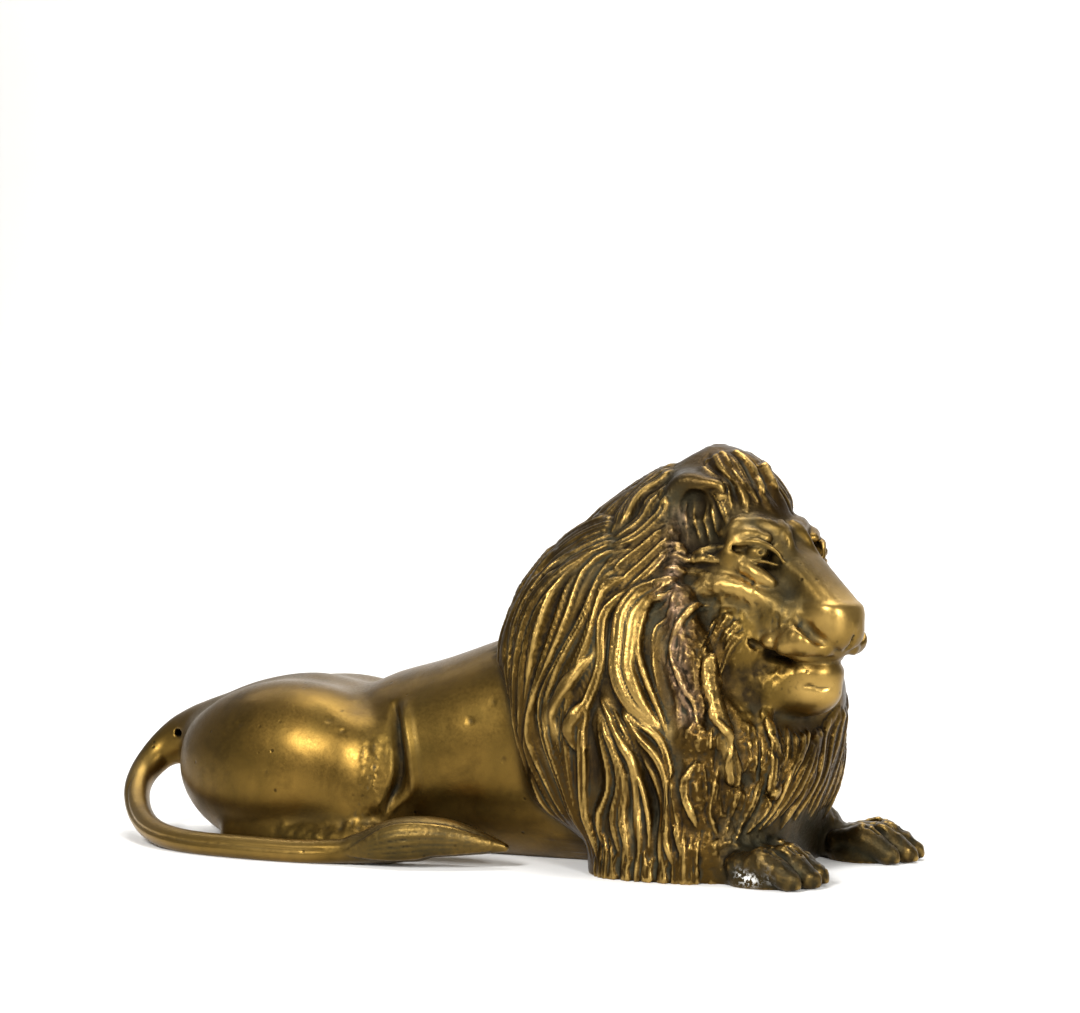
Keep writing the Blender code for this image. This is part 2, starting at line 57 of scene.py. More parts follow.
# A cast brass lion lying with its head up. The CAD solid holds its main forms; this makes the same
# lion again as fine clay, chases the mane, face, paws and tail, and gives it its worn brass finish,
# with painted shade in the hollows and painted highlights on ridges and rubbed spots.
# Everything is shaped in millimetres on the founder's grid: x to the paws, y to the lion's left.

cadLow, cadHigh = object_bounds()

lion = {
    "fineStep": 0.68,    # clay grid, mm
    "draftStep": 1.3,
    "blockLow": (-172, -72, -4),    # corners of the clay
    "blockHigh": (152, 66, 158),
    "triangles": 194000,
    "ribbonWidth": 1.9,    # half the width of a mane ribbon
    "ribbonHeight": 2.3,
    "chaseDepth": 0.75,    # lines the chaser cut along each ribbon
    "chaseWidth": 0.42,
    "samples": 28,    # points along each lock
    "maneMiddle": 62,    # x of the mane's upright axis
    "seed": 7,
}
gridStep = lion["fineStep"]
millimetre = 0.001    # in Blender's metres
far = 50.0
rng = np.random.default_rng(lion["seed"])


def smoothCurve(points, count):
    # Catmull-Rom through the points
    points = np.asarray(points, float)
    ends = 2 * points[[0, -1]] - points[[1, -2]]
    p = np.concatenate([ends[:1], points, ends[1:]])
    s = np.linspace(0, len(points) - 1, count)
    i = np.minimum(s.astype(int), len(points) - 2)
    t = (s - i)[:, None]
    a, b, c, d = p[i], p[i + 1], p[i + 2], p[i + 3]
    return 0.5 * (2 * b + (c - a) * t + (2 * a - 5 * b + 4 * c - d) * t**2
                  + (3 * b - a - 3 * c + d) * t**3)


def clipped(values):
    return np.clip(values, 0, 1)


def lengths(vectors):
    return np.linalg.norm(vectors, axis=-1)


def unit(vectors):
    return vectors / (lengths(vectors)[:, None] + 1e-9)


def stood(name, data):
    # a new object in the scene
    thing = bpy.data.objects.new(name, data)
    bpy.context.scene.collection.objects.link(thing)
    return thing


class Grid:
    # a local grid, so that the head is modelled straight and then turned
    def __init__(self, origin=(0, 0, 0), yaw=0, pitch=0, roll=0):
        turn = Euler([math.radians(a) for a in (roll, -pitch, yaw)]).to_matrix()
        self.origin = np.array(origin, float)
        self.axes = np.array(turn)

    def place(self, points):
        return self.origin + np.asarray(points, float) @ self.axes.T

    def local(self, points):
        return (points - self.origin) @ self.axes


whole = Grid()
headTurn = -28    # degrees, towards the lion's right
head = Grid(origin=(84, -2, 112), yaw=headTurn)


# a clay shape is its distance function and its two corners

def egg(centre, radii, yaw=0, pitch=0, roll=0, grid=whole, power=2.0):
    own = Grid((0, 0, 0), yaw, pitch, roll)
    own.axes = grid.axes @ own.axes
    own.origin = grid.place(centre)
    radii = np.array(radii, float)

    def distance(points):
        q = np.abs(own.local(points)) / radii
        near = (q**power).sum(-1) ** (1 / power) + 1e-6
        slope = lengths(q ** (power - 1) / radii) * near ** (1 - power)
        return (near - 1) / (slope + 1e-6)

    reach = lengths(own.axes * radii) * 3 ** (0.5 - 1 / power)
    return distance, own.origin - reach, own.origin + reach


def stack(stations, along, grid=whole, power=2.0):
    # oval sections strung along one axis: place on it, centre on the other two, radii there
    fine = smoothCurve(stations, 12 * len(stations))
    others = [i for i in range(3) if i != along]

    def distance(points):
        q = grid.local(points)
        level = q[..., along]
        centre = [np.interp(level, fine[:, 0], fine[:, 1 + i]) for i in (0, 1)]
        radius = [np.interp(level, fine[:, 0], fine[:, 3 + i]) for i in (0, 1)]
        u, v = [np.abs(q[..., others[i]] - centre[i]) / radius[i] for i in (0, 1)]
        near = (u**power + v**power) ** (1 / power) + 1e-6
        slope = np.hypot(u ** (power - 1) / radius[0], v ** (power - 1) / radius[1])
        slope *= near ** (1 - power)
        ends = np.maximum(fine[0, 0] - level, level - fine[-1, 0])
        return np.maximum((near - 1) / (slope + 1e-6), ends)

    corners = []
    for signs in ((-1, -1), (-1, 1), (1, -1), (1, 1)):
        q = np.zeros((len(fine), 3))
        q[:, along] = fine[:, 0]
        q[:, others] = fine[:, 1:3] + fine[:, 3:5] * signs
        corners.append(grid.place(q))
    corners = np.concatenate(corners)
    return distance, corners.min(0), corners.max(0)


def limb(points, radii, grid=whole, steps=6):
    # a round tapering limb along a smooth path
    count = (len(points) - 1) * steps + 1
    path = smoothCurve(grid.place(points), count)
    thick = smoothCurve(np.array(radii, float)[:, None], count)[:, 0]

    def distance(points):
        nearest = np.full(points.shape[:-1], far)
        for a, b, ra, rb in zip(path, path[1:], thick, thick[1:]):
            along = clipped((points - a) @ (b - a) / ((b - a) @ (b - a)))
            gap = points - a - along[..., None] * (b - a)
            np.minimum(nearest, lengths(gap) - ra - (rb - ra) * along, out=nearest)
        return nearest

    reach = thick.max()
    return distance, path.min(0) - reach, path.max(0) + reach


class Clay:
    # a block of voxels holding the distance to the modelled surface
    def __init__(self, low, high, step):
        self.low = np.array(low, float)
        self.step = step
        counts = np.ceil((np.array(high) - self.low) / step).astype(int) + 1
        self.field = np.full(counts, far, np.float32)

    def window(self, low, high):
        first = np.clip(np.floor((low - self.low) / self.step), 0, None).astype(int)
        last = np.minimum(np.ceil((high - self.low) / self.step).astype(int) + 1, self.field.shape)
        part = tuple(slice(a, b) for a, b in zip(first, last))
        axes = [self.low[i] + self.step * np.arange(first[i], last[i]) for i in range(3)]
        return part, np.stack(np.meshgrid(*axes, indexing="ij"), -1)

    def work(self, shape, blend, pick, sign):
        # shapes melt together over the blend, mm
        distance, low, high = shape
        margin = blend + 3 * self.step
        part, places = self.window(low - margin, high + margin)
        old, new = self.field[part], -sign * distance(places)
        meet = np.maximum(blend - np.abs(old - new), 0)
        self.field[part] = pick(old, new) + sign * meet**2 / (4 * blend)

    def add(self, shape, blend=0.5):
        self.work(shape, blend, np.minimum, -1)

    def cut(self, shape, blend=0.5):
        self.work(shape, blend, np.maximum, 1)

    def level(self, height):
        z = self.low[2] + self.step * np.arange(self.field.shape[2])
        np.maximum(self.field, (height - z).astype(np.float32), out=self.field)

    def surface(self):
        grid = openvdb.FloatGrid(background=far)
        grid.copyFromArray(self.field)
        points, quads = grid.convertToQuads(isovalue=0.0)
        return self.low + self.step * points.astype(float), quads


def sided(points, side):
    return [(x, side * y, z) for x, y, z in points]


def shapeBody(clay):
    clay.add(stack([    # x, centre y and z, half width, half height
        (-148, 0, 30, 4, 6), (-141, 0, 27, 13, 20), (-128, 0, 28, 21, 27), (-110, 0, 30, 28, 31),
        (-90, 0, 30, 34, 33.5), (-67, 0, 30, 35, 30.5), (-50, 0, 32, 36, 34), (-30, 0, 34, 38, 37.5),
        (-8, 0, 38, 38, 41), (20, 0, 42, 36, 46), (50, 0, 44, 34, 48),
    ], along=0))
    for side in (-1, 1):
        clay.add(egg((-88, side * 20, 29), (49.5, 28, 33), yaw=side * 3), 4)
        clay.add(egg((-54, side * 30, 22), (20, 16, 27), yaw=side * 8), 7)
        foot = sided([(-104, 36, 4), (-60, 43, 5), (-34, 45, 5)], side)
        clay.add(limb(foot, [6, 7, 6]), 5)


paws = ((-1, 3, 38), (1, 18, 31))    # side, reach forward, distance out
toes = (-1, -0.36, 0.36, 1)    # splay of each


def shapeLegs(clay):
    for side, reach, aside in paws:
        middle = side * aside
        elbow, wrist = (60, side * 34, 14), (86 + reach, middle, 10)
        clay.add(limb([elbow, (74 + reach, middle, 11), wrist], [12, 10.5, 9]), 5)
        clay.add(egg((104 + reach, middle, 3), (15, 14, 10)), 4)
        for splay in toes:
            tip = 121 + reach - 6 * abs(splay) ** 1.5
            toe = [(tip - 19, middle + 8 * splay, 7), (tip - 8, middle + 10.5 * splay, 8),
                   (tip, middle + 11.5 * splay, 3.5)]
            clay.add(limb(toe, [4.2, 4.8, 3.8]), 1)
            clay.add(egg((tip - 9, middle + 10.3 * splay, 10.6), (4.6, 3.4, 3.4)), 1.2)
            claw = [(tip + 0.5, middle + 11.5 * splay, 5), (tip + 2.5, middle + 11.8 * splay, 3.8),
                    (tip + 3.4, middle + 12 * splay, 2)]
            clay.add(limb(claw, [2.4, 2, 1.6]), 0.8)
            nick = [(tip - 7, middle + 11.2 * splay, 13), (tip - 3, middle + 11.4 * splay, 9.6)]
            clay.cut(limb(nick, [0.5, 0.5]), 1.2)


def shapeTail(clay):
    thick = 4.4
    low = 0.86 * thick
    path = [
        (-118, 0, 45), (-136, 0, 42.5), (-146, 0, 39), (-153, -1, 35), (-159, -6, 29),
        (-161, -14, 22), (-157, -24, 15.5), (-146, -37, 9), (-131, -49, low + 1.5),
        (-112, -57, low), (-87, -61, low), (-61, -61, low), (-38, -58, low + 1.5),
        (-18, -54, low + 3),
    ]
    shares = [2, 1.85, 1.95, 1.85, 1.5, 1.25, 1.15, 1.05, 1, 1, 1, 1, 1, 1]
    clay.add(limb(path, [thick * share for share in shares]), 3)
    clay.add(egg((-150, -3, 33), (6, 5, 6.5)), 4)
    clay.add(egg((-132, 0, 38), (14, 15, 11)), 8)
    for side in (-1, 1):
        clay.add(egg((-122, side * 14, 38), (13, 10, 8)), 9)
    clay.add(limb([(-40, -58, 6.5), (-25, -55, 10), (-10, -51, 10.6), (3, -47.5, 9), (12, -45, 7.5)],
                  [4.4, 7.2, 6.9, 4.2, 1.6]), 3)
    clay.cut(limb([(-143, -19, 38.5), (-154, 5, 38.5)], [1.5, 1.5]))    # casting hole


def shapeMane(clay):
    clay.add(stack([    # z, centre x and y, half length, half width
        (-6, 74, 0, 32, 50), (8, 71.5, 0, 37.5, 49), (24, 61.5, 0, 52.5, 47.5),
        (40, 59.5, 0, 57.5, 47.5), (55, 55.5, 0, 56.5, 46), (72, 48.5, 0, 51, 43.5),
        (90, 44.8, 0, 42.7, 39.7), (103, 46, 0, 36.2, 35.6), (114, 49, 0, 30.4, 30.4),
        (125, 55, 0, 23.8, 23), (135, 63, 0, 17.2, 15), (143, 70.5, 0, 11, 9.2),
        (147, 73.5, 0, 6.5, 5.5), (149, 76, 0, 3, 3),
    ], along=2, power=2.7), 2)
    clay.add(egg((102, 8, 60), (18.3, 21.5, 23)), 8)
    clay.add(egg((64, 19, 116), (23, 16, 22)), 6)
    for side in (-1, 1):
        band = sided([(74, 33, 96), (80, 36.5, 75), (83, 39, 50), (83, 41, 22), (80, 42, 8)], side)
        clay.add(limb(band, [5, 6, 6.5, 7, 7]), 6)
        clay.add(egg((64, side * 38, 2), (22, 12, 18)), 8)
        # the seam's lumps, from the ear's foot down
        lumps = sided([(69, 19, 124), (70, 23, 115), (70, 27, 108), (69, 31, 101)], side)
        clay.add(limb(lumps, [2.4, 2.6, 2.8, 4]), 2)
        clay.add(egg((84, side * 43, 49), (7, 5.5, 5.5)), 2.5)
        clay.cut(egg((88, side * 50, 48), (2, 2.5, 2.2)), 1.5)
        lowest = sided([(83, 44.5, 37), (83.5, 45.5, 30), (84, 45.5, 23)], side)
        clay.add(limb(lowest, [4.4, 4.8, 3.6]), 2.5)
        # ridges and dark hollows in the chest
        outer = sided([(88, 41, 76), (90, 42.5, 64), (93, 43, 52), (96, 43, 36)], side)
        clay.add(limb(outer, [2, 2.4, 2.8, 2.4]), 2)
        inner = sided([(104, 31, 56), (107, 34, 45), (107.5, 35, 32)], side)
        clay.add(limb(inner, [2.6, 2.8, 2.4]), 2)
        clay.cut(egg((101, side * 43.5, 47), (4.5, 4.5, 6.5), pitch=15, power=3), 2)
        clay.cut(egg((103.5, side * 43, 34), (4.5, 5.5, 6), pitch=10, power=3), 2)
        clay.cut(egg((80, side * 48, 61), (3, 4, 6)), 2)
        clay.cut(egg((89, side * 47.5, 58), (2.2, 3.5, 6)), 2)
        clay.cut(egg((90, side * 50, 30), (2.5, 4, 9)), 2)
    clay.cut(egg((121, -14, 41), (4, 4, 8)), 3)


def shapeHead(clay):
    # on the head's own straight grid: x forward, y to its left, z up, from between the eyes
    clay.add(stack([    # height, centre forward and left, half length, half width
        (-56, -8, 0, 16, 14), (-48, -4, 0, 22, 20), (-38, -2, 0, 26, 24), (-25, 0, 0, 28, 26),
        (-12, 0, 0, 27, 26), (-2, 0, 0, 27, 25), (5, -1, 0, 27, 22.5), (11.5, -3, 0, 26, 19.5),
        (19.5, -4, 0, 23, 17.5), (27, -6, 0, 18.5, 14.5), (33, -7, 0, 13.5, 11),
        (37, -8.5, 0, 7.5, 6.5), (38.5, -9.5, 0, 2, 2),
    ], along=2, grid=head), 4)
    clay.add(stack([    # bridge of the nose
        (14, 0, -3, 8, 13), (26, 0, -5, 10, 12.5), (36, 0, -11, 9.8, 10.5), (45, 0, -17, 9.2, 9),
        (51, 0, -22, 9.2, 9), (55, 0, -24, 7.8, 7.5), (57.5, 0, -24, 4.5, 4.5), (58.5, 0, -24, 1, 1),
    ], along=0, grid=head, power=3), 3)
    clay.add(stack([    # muzzle down to the upper lip
        (14, 0, -18, 18, 15), (24, 0, -20, 18.5, 15), (34, 0, -22.5, 16.5, 13.5), (42, 0, -26, 14, 11),
        (48, 0, -28.5, 10.5, 8), (51, 0, -30, 6, 5.5), (53, 0, -30.5, 2, 2),
    ], along=0, grid=head, power=2.3), 4)
    clay.add(stack([    # nose plate, narrowing down to the lip
        (-33.5, 45, 0, 6, 2.5), (-30.5, 46, 0, 7.6, 4.4), (-27, 46, 0, 9.7, 7.6), (-23, 46, 0, 11.2, 9.9),
        (-20, 46, 0, 11.8, 10.4), (-17, 45.5, 0, 11, 10), (-15, 44, 0, 7.5, 7.5),
    ], along=2, grid=head, power=2.5), 1)
    clay.add(egg((34, 0, -46.5), (15, 10.4, 10), grid=head), 4)    # chin
    lip = [(26, -11, -41), (40, -7.5, -41), (45.5, 0, -40.8), (40, 7.5, -41), (26, 11, -41)]
    clay.add(limb(lip, [2.4, 3.2, 4, 3.2, 2.4], grid=head), 3)
    for side in (-1, 1):
        shapeFace(clay, side)
        shapeEar(clay, side)
    philtrum = [(57.5, 0, -27.5), (55, 0, -31), (53.5, 0, -36)]
    clay.cut(limb(philtrum, [0.6, 0.9, 1.1], grid=head), 0.8)


def shapeFace(clay, side):
    # one half of the face, on the head's grid
    def ball(work, place, radii, blend, yaw=0):
        x, y, z = place
        work(egg((x, side * y, z), radii, yaw=side * yaw, grid=head), blend)

    def strip(work, points, radii, blend):
        work(limb(sided(points, side), radii, grid=head), blend)

    add, cut = clay.add, clay.cut
    ball(add, (41.5, 9, -29.5), (9.5, 8.5, 7), 2.5)    # whisker pad
    for x, y, z, size in ((46.5, 12, -30, 3.8), (39.5, 14.6, -31.6, 3.6), (33.5, 16, -30.4, 2.8),
                          (50, 6.5, -32.2, 2.8)):
        ball(add, (x, y, z), (size, size, size), 2.4)
    ball(add, (16.5, 17, 0), (6, 5.6, 7), 5)    # temple
    ball(add, (12, 17, -32), (17, 10, 16), 5)    # jowl
    cheekbone = [(10, 23, -12), (17, 20.5, -11.5), (26, 16.5, -14), (33, 13.5, -17.5)]
    strip(add, cheekbone, [4.5, 4.2, 3.6, 2.6], 3)
    strip(add, [(8, 16, -42), (28, 9, -46)], [11, 9], 5)    # jaw
    ball(add, (38.4, 11, -12.5), (2.6, 2.4, 2), 1.5)    # lumps beside the nose
    ball(add, (34.6, 13.5, -20), (2.8, 2.6, 2.4), 1.5)
    crease = [(6, 22, 12), (13, 18.5, 14.5), (19, 13.5, 16), (23, 9, 16.5)]
    strip(cut, crease, [2, 2, 1.5, 0.8], 3.5)
    brow = [(12, 18, 5.5), (17, 14.5, 9), (23, 9, 9.5), (27, 4, 7.5)]
    strip(add, brow, [2, 2.6, 2.6, 2.2], 5)
    ball(cut, (11.5, 22.5, 6.5), (4.5, 4, 6.5), 3)    # beside the brow
    panel = [(19, 16.8, 5.6), (22.5, 15.2, 6.4), (27, 11.6, 5.2)]
    strip(add, panel, [1.8, 2.6, 1.8], 2.5)
    for x, y, z, size in ((16.4, 14.4, 9.8, 3), (21.6, 9.6, 10.4, 1.9), (12.5, 18, 7, 1.9)):
        ball(add, (x, y, z), (size, size, 0.8 * size), 1.8)
    frown = [(25, 3, 10.5), (30, 4, 6), (33.5, 5.5, -0.5)]
    strip(add, frown, [1.2, 1.6, 1], 1.8)
    ball(cut, (38, 11.6, -11), (3, 2.2, 4), 3)    # beside the bridge
    ball(cut, (28, 16.6, 0.6), (4.6, 3.6, 2.6), 1.5)    # eye socket
    outerCorner = [(26, 17.6, 1), (19, 19.8, 1.6), (13, 21.4, 2.6)]
    strip(cut, outerCorner, [1.3, 1.3, 0.6], 1)
    ball(add, (25.4, 14.4, 0.3), (4.2, 3.8, 2.8), 0.5)    # eyeball
    ball(cut, (28.9, 16, 0.4), (0.9, 0.9, 0.7), 0.4)    # pupil
    pouch = [(21, 17.8, -3.4), (24, 17.2, -5), (28, 15.8, -7.6), (31.5, 13.6, -10)]
    strip(add, pouch, [1.9, 2.8, 2.8, 1.9], 1.6)
    lowerLid = [(20, 18.4, 0.4), (25, 17.4, -2), (29.5, 14.8, -2.8), (32.5, 11.6, -4)]
    strip(add, lowerLid, [0.6, 0.7, 0.7, 0.6], 0.5)
    upperLid = [(18, 18.8, 2.2), (22.5, 17.4, 3.8), (27.5, 15, 3.6), (31.5, 11.8, 1), (33.5, 9.6, -3)]
    strip(add, upperLid, [0.9, 1.3, 1.3, 0.9, 0.6], 0.8)
    ball(cut, (38, 16, -38), (10, 4, 2.6), 2.5, yaw=-20)    # under the lip
    lips = [(22, 21.4, -27.4), (25, 20.2, -29), (31, 17.4, -33), (38, 15, -35.6), (45.5, 10, -35.6),
            (50.5, 4, -36), (52.5, 0, -37)]
    strip(cut, lips, [0.5, 1, 1.4, 1.7, 1.7, 1.4, 1.2], 1.2)
    nostril = [(52, 9.4, -29.5), (48.5, 11.6, -26.8), (45.5, 12.4, -23.5), (43, 12.6, -21)]
    strip(cut, nostril, [1.2, 2.5, 2.2, 1], 1.3)


ears = {    # by side: where its root lies, size of its hollows. The left ear lies back in the mane
    -1: ((0, 0, 0), 1),
    1: ((-5, -4, -1), 0.55),
}


def shapeEar(clay, side):
    root, deep = ears[side]
    own = Grid(origin=head.place(root), yaw=headTurn)
    clay.add(egg((-4, side * 16, 12), (9, 6.5, 14), grid=own), 4)
    clay.add(egg((-7, side * 17, 22), (11, 6.5, 7.5), grid=own), 4)
    bowl = deep * np.array([7.5, 4.2, 9])
    clay.cut(egg((3, side * 23.5, 8), bowl, yaw=side * -20, grid=own), 3)
    rim = sided([(8.5, 15.5, 20.5), (7.5, 16.5, 23.5), (2, 19, 24.6), (-4, 21.5, 25), (-8, 23, 21.5),
                 (-9, 24.2, 13), (-7.5, 25.4, 5), (-5, 26.6, -3)], side)
    clay.add(limb(rim, [0.9, 1.8, 2.5, 3, 3.3, 3.3, 3.2, 2.6], grid=own), 2.5)
    upper = deep * np.array([6, 4.8, 5.6])
    clay.cut(egg((1.5, side * 22, 16.5), upper, yaw=side * -20, grid=own), 1.2)


class Skin:
    # the clay's surface, with the relief raised or cut on it
    def __init__(self, points, quads):
        self.points = points
        self.quads = quads
        self.tree = BVHTree.FromPolygons(points.tolist(), quads.tolist())
        self.normals = self.facing(points)
        self.locks = np.zeros(len(points))
        self.relief = np.zeros(len(points))

    def facing(self, points):
        corners = points[self.quads]
        faces = np.cross(corners[:, 2] - corners[:, 0], corners[:, 3] - corners[:, 1])
        sums = np.zeros((len(points), 3))
        for axis in range(3):
            for k in range(4):
                sums[:, axis] += np.bincount(self.quads[:, k], faces[:, axis], len(points))
        return unit(sums)

    def lay(self, course, spacing=2.0):
        length = lengths(np.diff(course, axis=0)).sum()
        found = [self.tree.find_nearest(p) for p in smoothCurve(course, int(length / spacing) + 3)]
        places = np.array([hit[0] for hit in found])
        normals = np.array([hit[1] for hit in found])
        across = np.cross(normals, np.gradient(places, axis=0))
        return places, normals, unit(across)

    def near(self, course, width):
        # vertices within the width: their numbers, share along and distance across
        places, normals, across = self.lay(course)
        inside = (self.points > places.min(0) - width) & (self.points < places.max(0) + width)
        found = np.flatnonzero(inside.all(1))
        p, facing = self.points[found], self.normals[found]
        best, share, aside = np.full(len(p), far), np.zeros(len(p)), np.zeros(len(p))
        for i, (a, b) in enumerate(zip(places, places[1:])):
            close = np.flatnonzero(((p > np.minimum(a, b) - width) & (p < np.maximum(a, b) + width)).all(1))
            along = clipped((p[close] - a) @ (b - a) / ((b - a) @ (b - a) + 1e-9))
            gap = p[close] - a - along[:, None] * (b - a)
            away = lengths(gap)
            closer = (away < best[close]) & (facing[close] @ normals[i] > 0)
            own = close[closer]
            best[own] = away[closer]
            share[own] = (i + along[closer]) / (len(places) - 1)
            aside[own] = np.copysign(away[closer], gap[closer] @ across[i])
        keep = best < width
        return found[keep], share[keep], aside[keep]

    def ribbon(self, course, width, height, chases=(), root=0.12, tip=0.28, flat=2.4):
        # a flat-topped lock with lines chased along it, tapering to its root and its tip
        found, share, aside = self.near(course, width)
        swell = clipped(np.minimum(share / root + 0.05, (1 - share) / tip)) ** 0.6
        t = np.abs(aside) / (width * swell + 1e-6)
        body = np.maximum(1 - t**flat, 0) ** 0.62
        for place, depth in chases:
            line = np.exp(-((aside - place * width * swell) / lion["chaseWidth"]) ** 2)
            fade = clipped(np.minimum(share / 0.2, (1 - share) / 0.25))
            body = body - depth / height * fade * line
        self.locks[found] = np.maximum(self.locks[found], height * swell * body)

    def groove(self, course, width, depth, fadeAt=0.2):
        # a soft groove, or a ridge where the depth is below zero
        found, share, aside = self.near(course, 2 * width)
        fade = clipped(np.minimum(share, 1 - share) / fadeAt)
        self.relief[found] -= depth * fade * np.exp(-((aside / width) ** 2))

    def roughen(self, course, width, depth, grain, stretch=2.2):
        # knotty casting texture along a course
        strength = nearCourse(self.points, course, width)
        close = np.flatnonzero(strength > 0.02)
        waves = lattice(self.points[close] / (grain * np.array([1, 1, stretch])))
        waves += 0.5 * lattice(self.points[close] / (0.5 * grain))
        self.relief[close] += depth * strength[close] * waves

    def raised(self):
        points = self.points + self.normals * (self.locks + self.relief)[:, None]
        points[:, 2] = np.where(self.points[:, 2] < 0.01, 0, np.maximum(points[:, 2], 0))
        return points


def nearCourse(points, course, width):
    # 1 on a course, fading to 0 by about twice the width
    away = np.full(len(points), far)
    for place in smoothCurve(course, 40):
        np.minimum(away, lengths(points - place), out=away)
    return np.exp(-((away / width) ** 2))


knots = rng.uniform(-1, 1, (32, 32, 32))


def lattice(places):
    # smooth noise between random knots, about -1 to 1
    cell = np.floor(places).astype(int)
    share = places - cell
    share = share * share * (3 - 2 * share)
    total = np.zeros(len(places))
    for corner in np.ndindex(2, 2, 2):
        weight = np.prod(np.where(np.array(corner) == 1, share, 1 - share), axis=1)
        total += weight * knots[tuple(((cell + corner) % 32).T)]
    return total


def between(first, second, share):
    count = lion["samples"]
    return (1 - share) * smoothCurve(first, count) + share * smoothCurve(second, count)


def comb(skin, courses, width, height, ragged=0.16, split=0.35, wave=0.0):
    # ribbons side by side between neighbouring courses, uneven in width, height and length
    chase, samples = lion["chaseDepth"], lion["samples"]
    line = np.linspace(0, 1, samples)
    for place, (first, second) in enumerate(zip(courses, courses[1:])):
        gap = lengths(smoothCurve(first, 24) - smoothCurve(second, 24)).mean()
        count = max(round(gap / (2 * width)), 1)

        def swayed(share, own=0.0):
            course = between(first, second, share)
            outward = course - (lion["maneMiddle"], 0, course[samples // 2][2])
            across = unit(np.cross(np.gradient(course, axis=0), outward))
            ripple = wave * np.sin(2 * math.pi * (1.7 * line + 0.3 * (place + share))) + own
            return course + ripple[:, None] * across

        if wave:    # locks gather in clumps with a deep gap between
            skin.groove(swayed(0.5), 0.32 * gap, -0.45 * height, 0.3)
            skin.groove(swayed(-0.5 / count), 1.1, 0.6 * height, 0.3)
        for number in range(count):
            own = width * rng.uniform(-0.5, 0.5) * np.sin(line * rng.uniform(3, 6))
            course = swayed((number + 0.25 * rng.uniform(-1, 1)) / count, own)
            wide = width * rng.uniform(0.7, 1.45)
            high = height * rng.uniform(0.5, 1.3)
            chases = [(at + rng.uniform(-0.12, 0.12), chase * rng.uniform(0.2, 1.3))
                      for at in (-0.55, 0, 0.5)]
            start = int(samples * ragged * rng.uniform(0, 1))
            stop = samples - int(samples * ragged * rng.uniform(0, 1))
            if rng.uniform() < split:
                middle = rng.integers(11, 18)
                skin.ribbon(course[start:middle + 3], wide, high, chases, tip=0.45)
                skin.ribbon(course[middle - 3:stop], wide * 0.95, high * 0.8, chases[:1], root=0.4)
            else:
                skin.ribbon(course[start:stop], wide, high, chases)
    skin.ribbon(courses[-1], width, height, [(0.1, chase)])


napeLocks = [
    [(62, -3, 146), (50, -5, 140), (34, -7, 129), (22, -10, 120)],
    [(64, -9, 144), (54, -13, 137), (47, -24, 127), (44, -29, 119)],
    [(63, -15, 138), (58, -19, 132), (53, -25, 125), (47, -30, 118)],
    [(65, -20, 132), (62, -24, 125), (55, -30, 118), (44, -32, 114)],
]
sideLocks = [
    [(30, -8, 124), (11, -14, 110), (0, -20, 96), (-3, -26, 82), (1, -31, 70)],
    [(33, -28, 116), (14, -30, 105), (8, -33, 90), (7, -37, 76), (8, -39, 62), (12, -41, 50)],
    [(44, -31, 115), (28, -36, 102), (21, -40, 88), (17, -42, 66), (15, -42, 46), (21, -42, 26),
     (27, -40, 10)],
    [(55, -31, 114), (38, -36, 106), (30, -41, 90), (22, -43, 68), (19, -43, 46), (28, -45, 24),
     (33, -44, 6)],
    [(60, -31, 113), (47, -35, 109), (39, -41, 92), (31, -44, 72), (26, -45, 54), (32, -46, 31),
     (39, -47, 6)],
    [(62, -34, 108), (46, -37, 104), (43, -42, 85), (35, -45, 64), (31, -46, 48), (38, -47, 24),
     (45, -48, 4)],
    [(64, -36, 104), (49, -41, 92), (48, -44, 73), (43, -46, 56), (43, -47, 38), (44, -48, 18),
     (50, -49, 2)],
]
fanLocks = [
    [(48, -45, 64), (50, -47, 48), (52, -48, 32), (50, -49, 18), (54, -50, 2)],
    [(49, -45, 63), (57, -47, 46), (64, -48, 31), (64, -49, 18), (65, -51, 2)],
    [(53, -45, 62), (64, -47, 47), (71, -48, 33), (72, -49, 17), (75, -51, 2)],
    [(58, -47, 66), (62, -48, 56), (72, -48, 48), (77, -48, 33), (79, -50, 17), (84, -51, 3)],
]
crescentLock = [(71, -32, 102), (64, -40, 99), (58, -43, 92), (57, -46, 82), (57, -47, 72), (61, -48, 63),
                (66, -48, 57), (72, -48, 52)]
crescentRim = [(71, -37, 99), (65, -42, 96), (62, -45, 83), (64, -46, 73), (71, -47, 58), (74, -47, 50)]
shoulderLocks = [
    [(46, -22, 126), (36, -20, 121), (26, -18, 116), (14, -17, 107)],
    [(48, -27, 122), (38, -26, 117), (28, -27, 111), (17, -30, 101)],
    [(48, -31, 117), (38, -32, 112), (29, -34, 106), (21, -37, 95)],
]
behindEar = [
    [(66, -24, 128), (59, -28, 122), (51, -32, 115), (43, -35, 106)],
    [(68, -26, 122), (61, -32, 115), (54, -37, 107), (46, -40, 97)],
    [(69, -30, 115), (64, -36, 108), (58, -40, 102), (51, -43, 94)],
]
leftCrown = [
    [(66, 8, 146), (56, 14, 139), (46, 20, 130), (38, 24, 120)],
    [(70, 18, 142), (60, 24, 134), (50, 30, 123), (43, 34, 112)],
    [(72, 26, 134), (64, 33, 124), (55, 38, 112), (48, 42, 100)],
]
leftCheek = [
    [(78, 36, 110), (80, 40, 96), (82, 43, 82), (84, 45, 68)],
    [(88, 32, 104), (90, 37, 92), (92, 40, 80), (93, 42, 66)],
    [(97, 27, 98), (99, 32, 88), (101, 36, 76), (102, 38, 64)],
]
leafLocks = [
    [(46, -44, 77), (38, -46, 68), (33, -46, 61), (30, -46, 54), (33, -46, 49)],
    [(45, -47, 62), (40, -47, 55), (38, -47, 50), (42, -48, 42)],
]
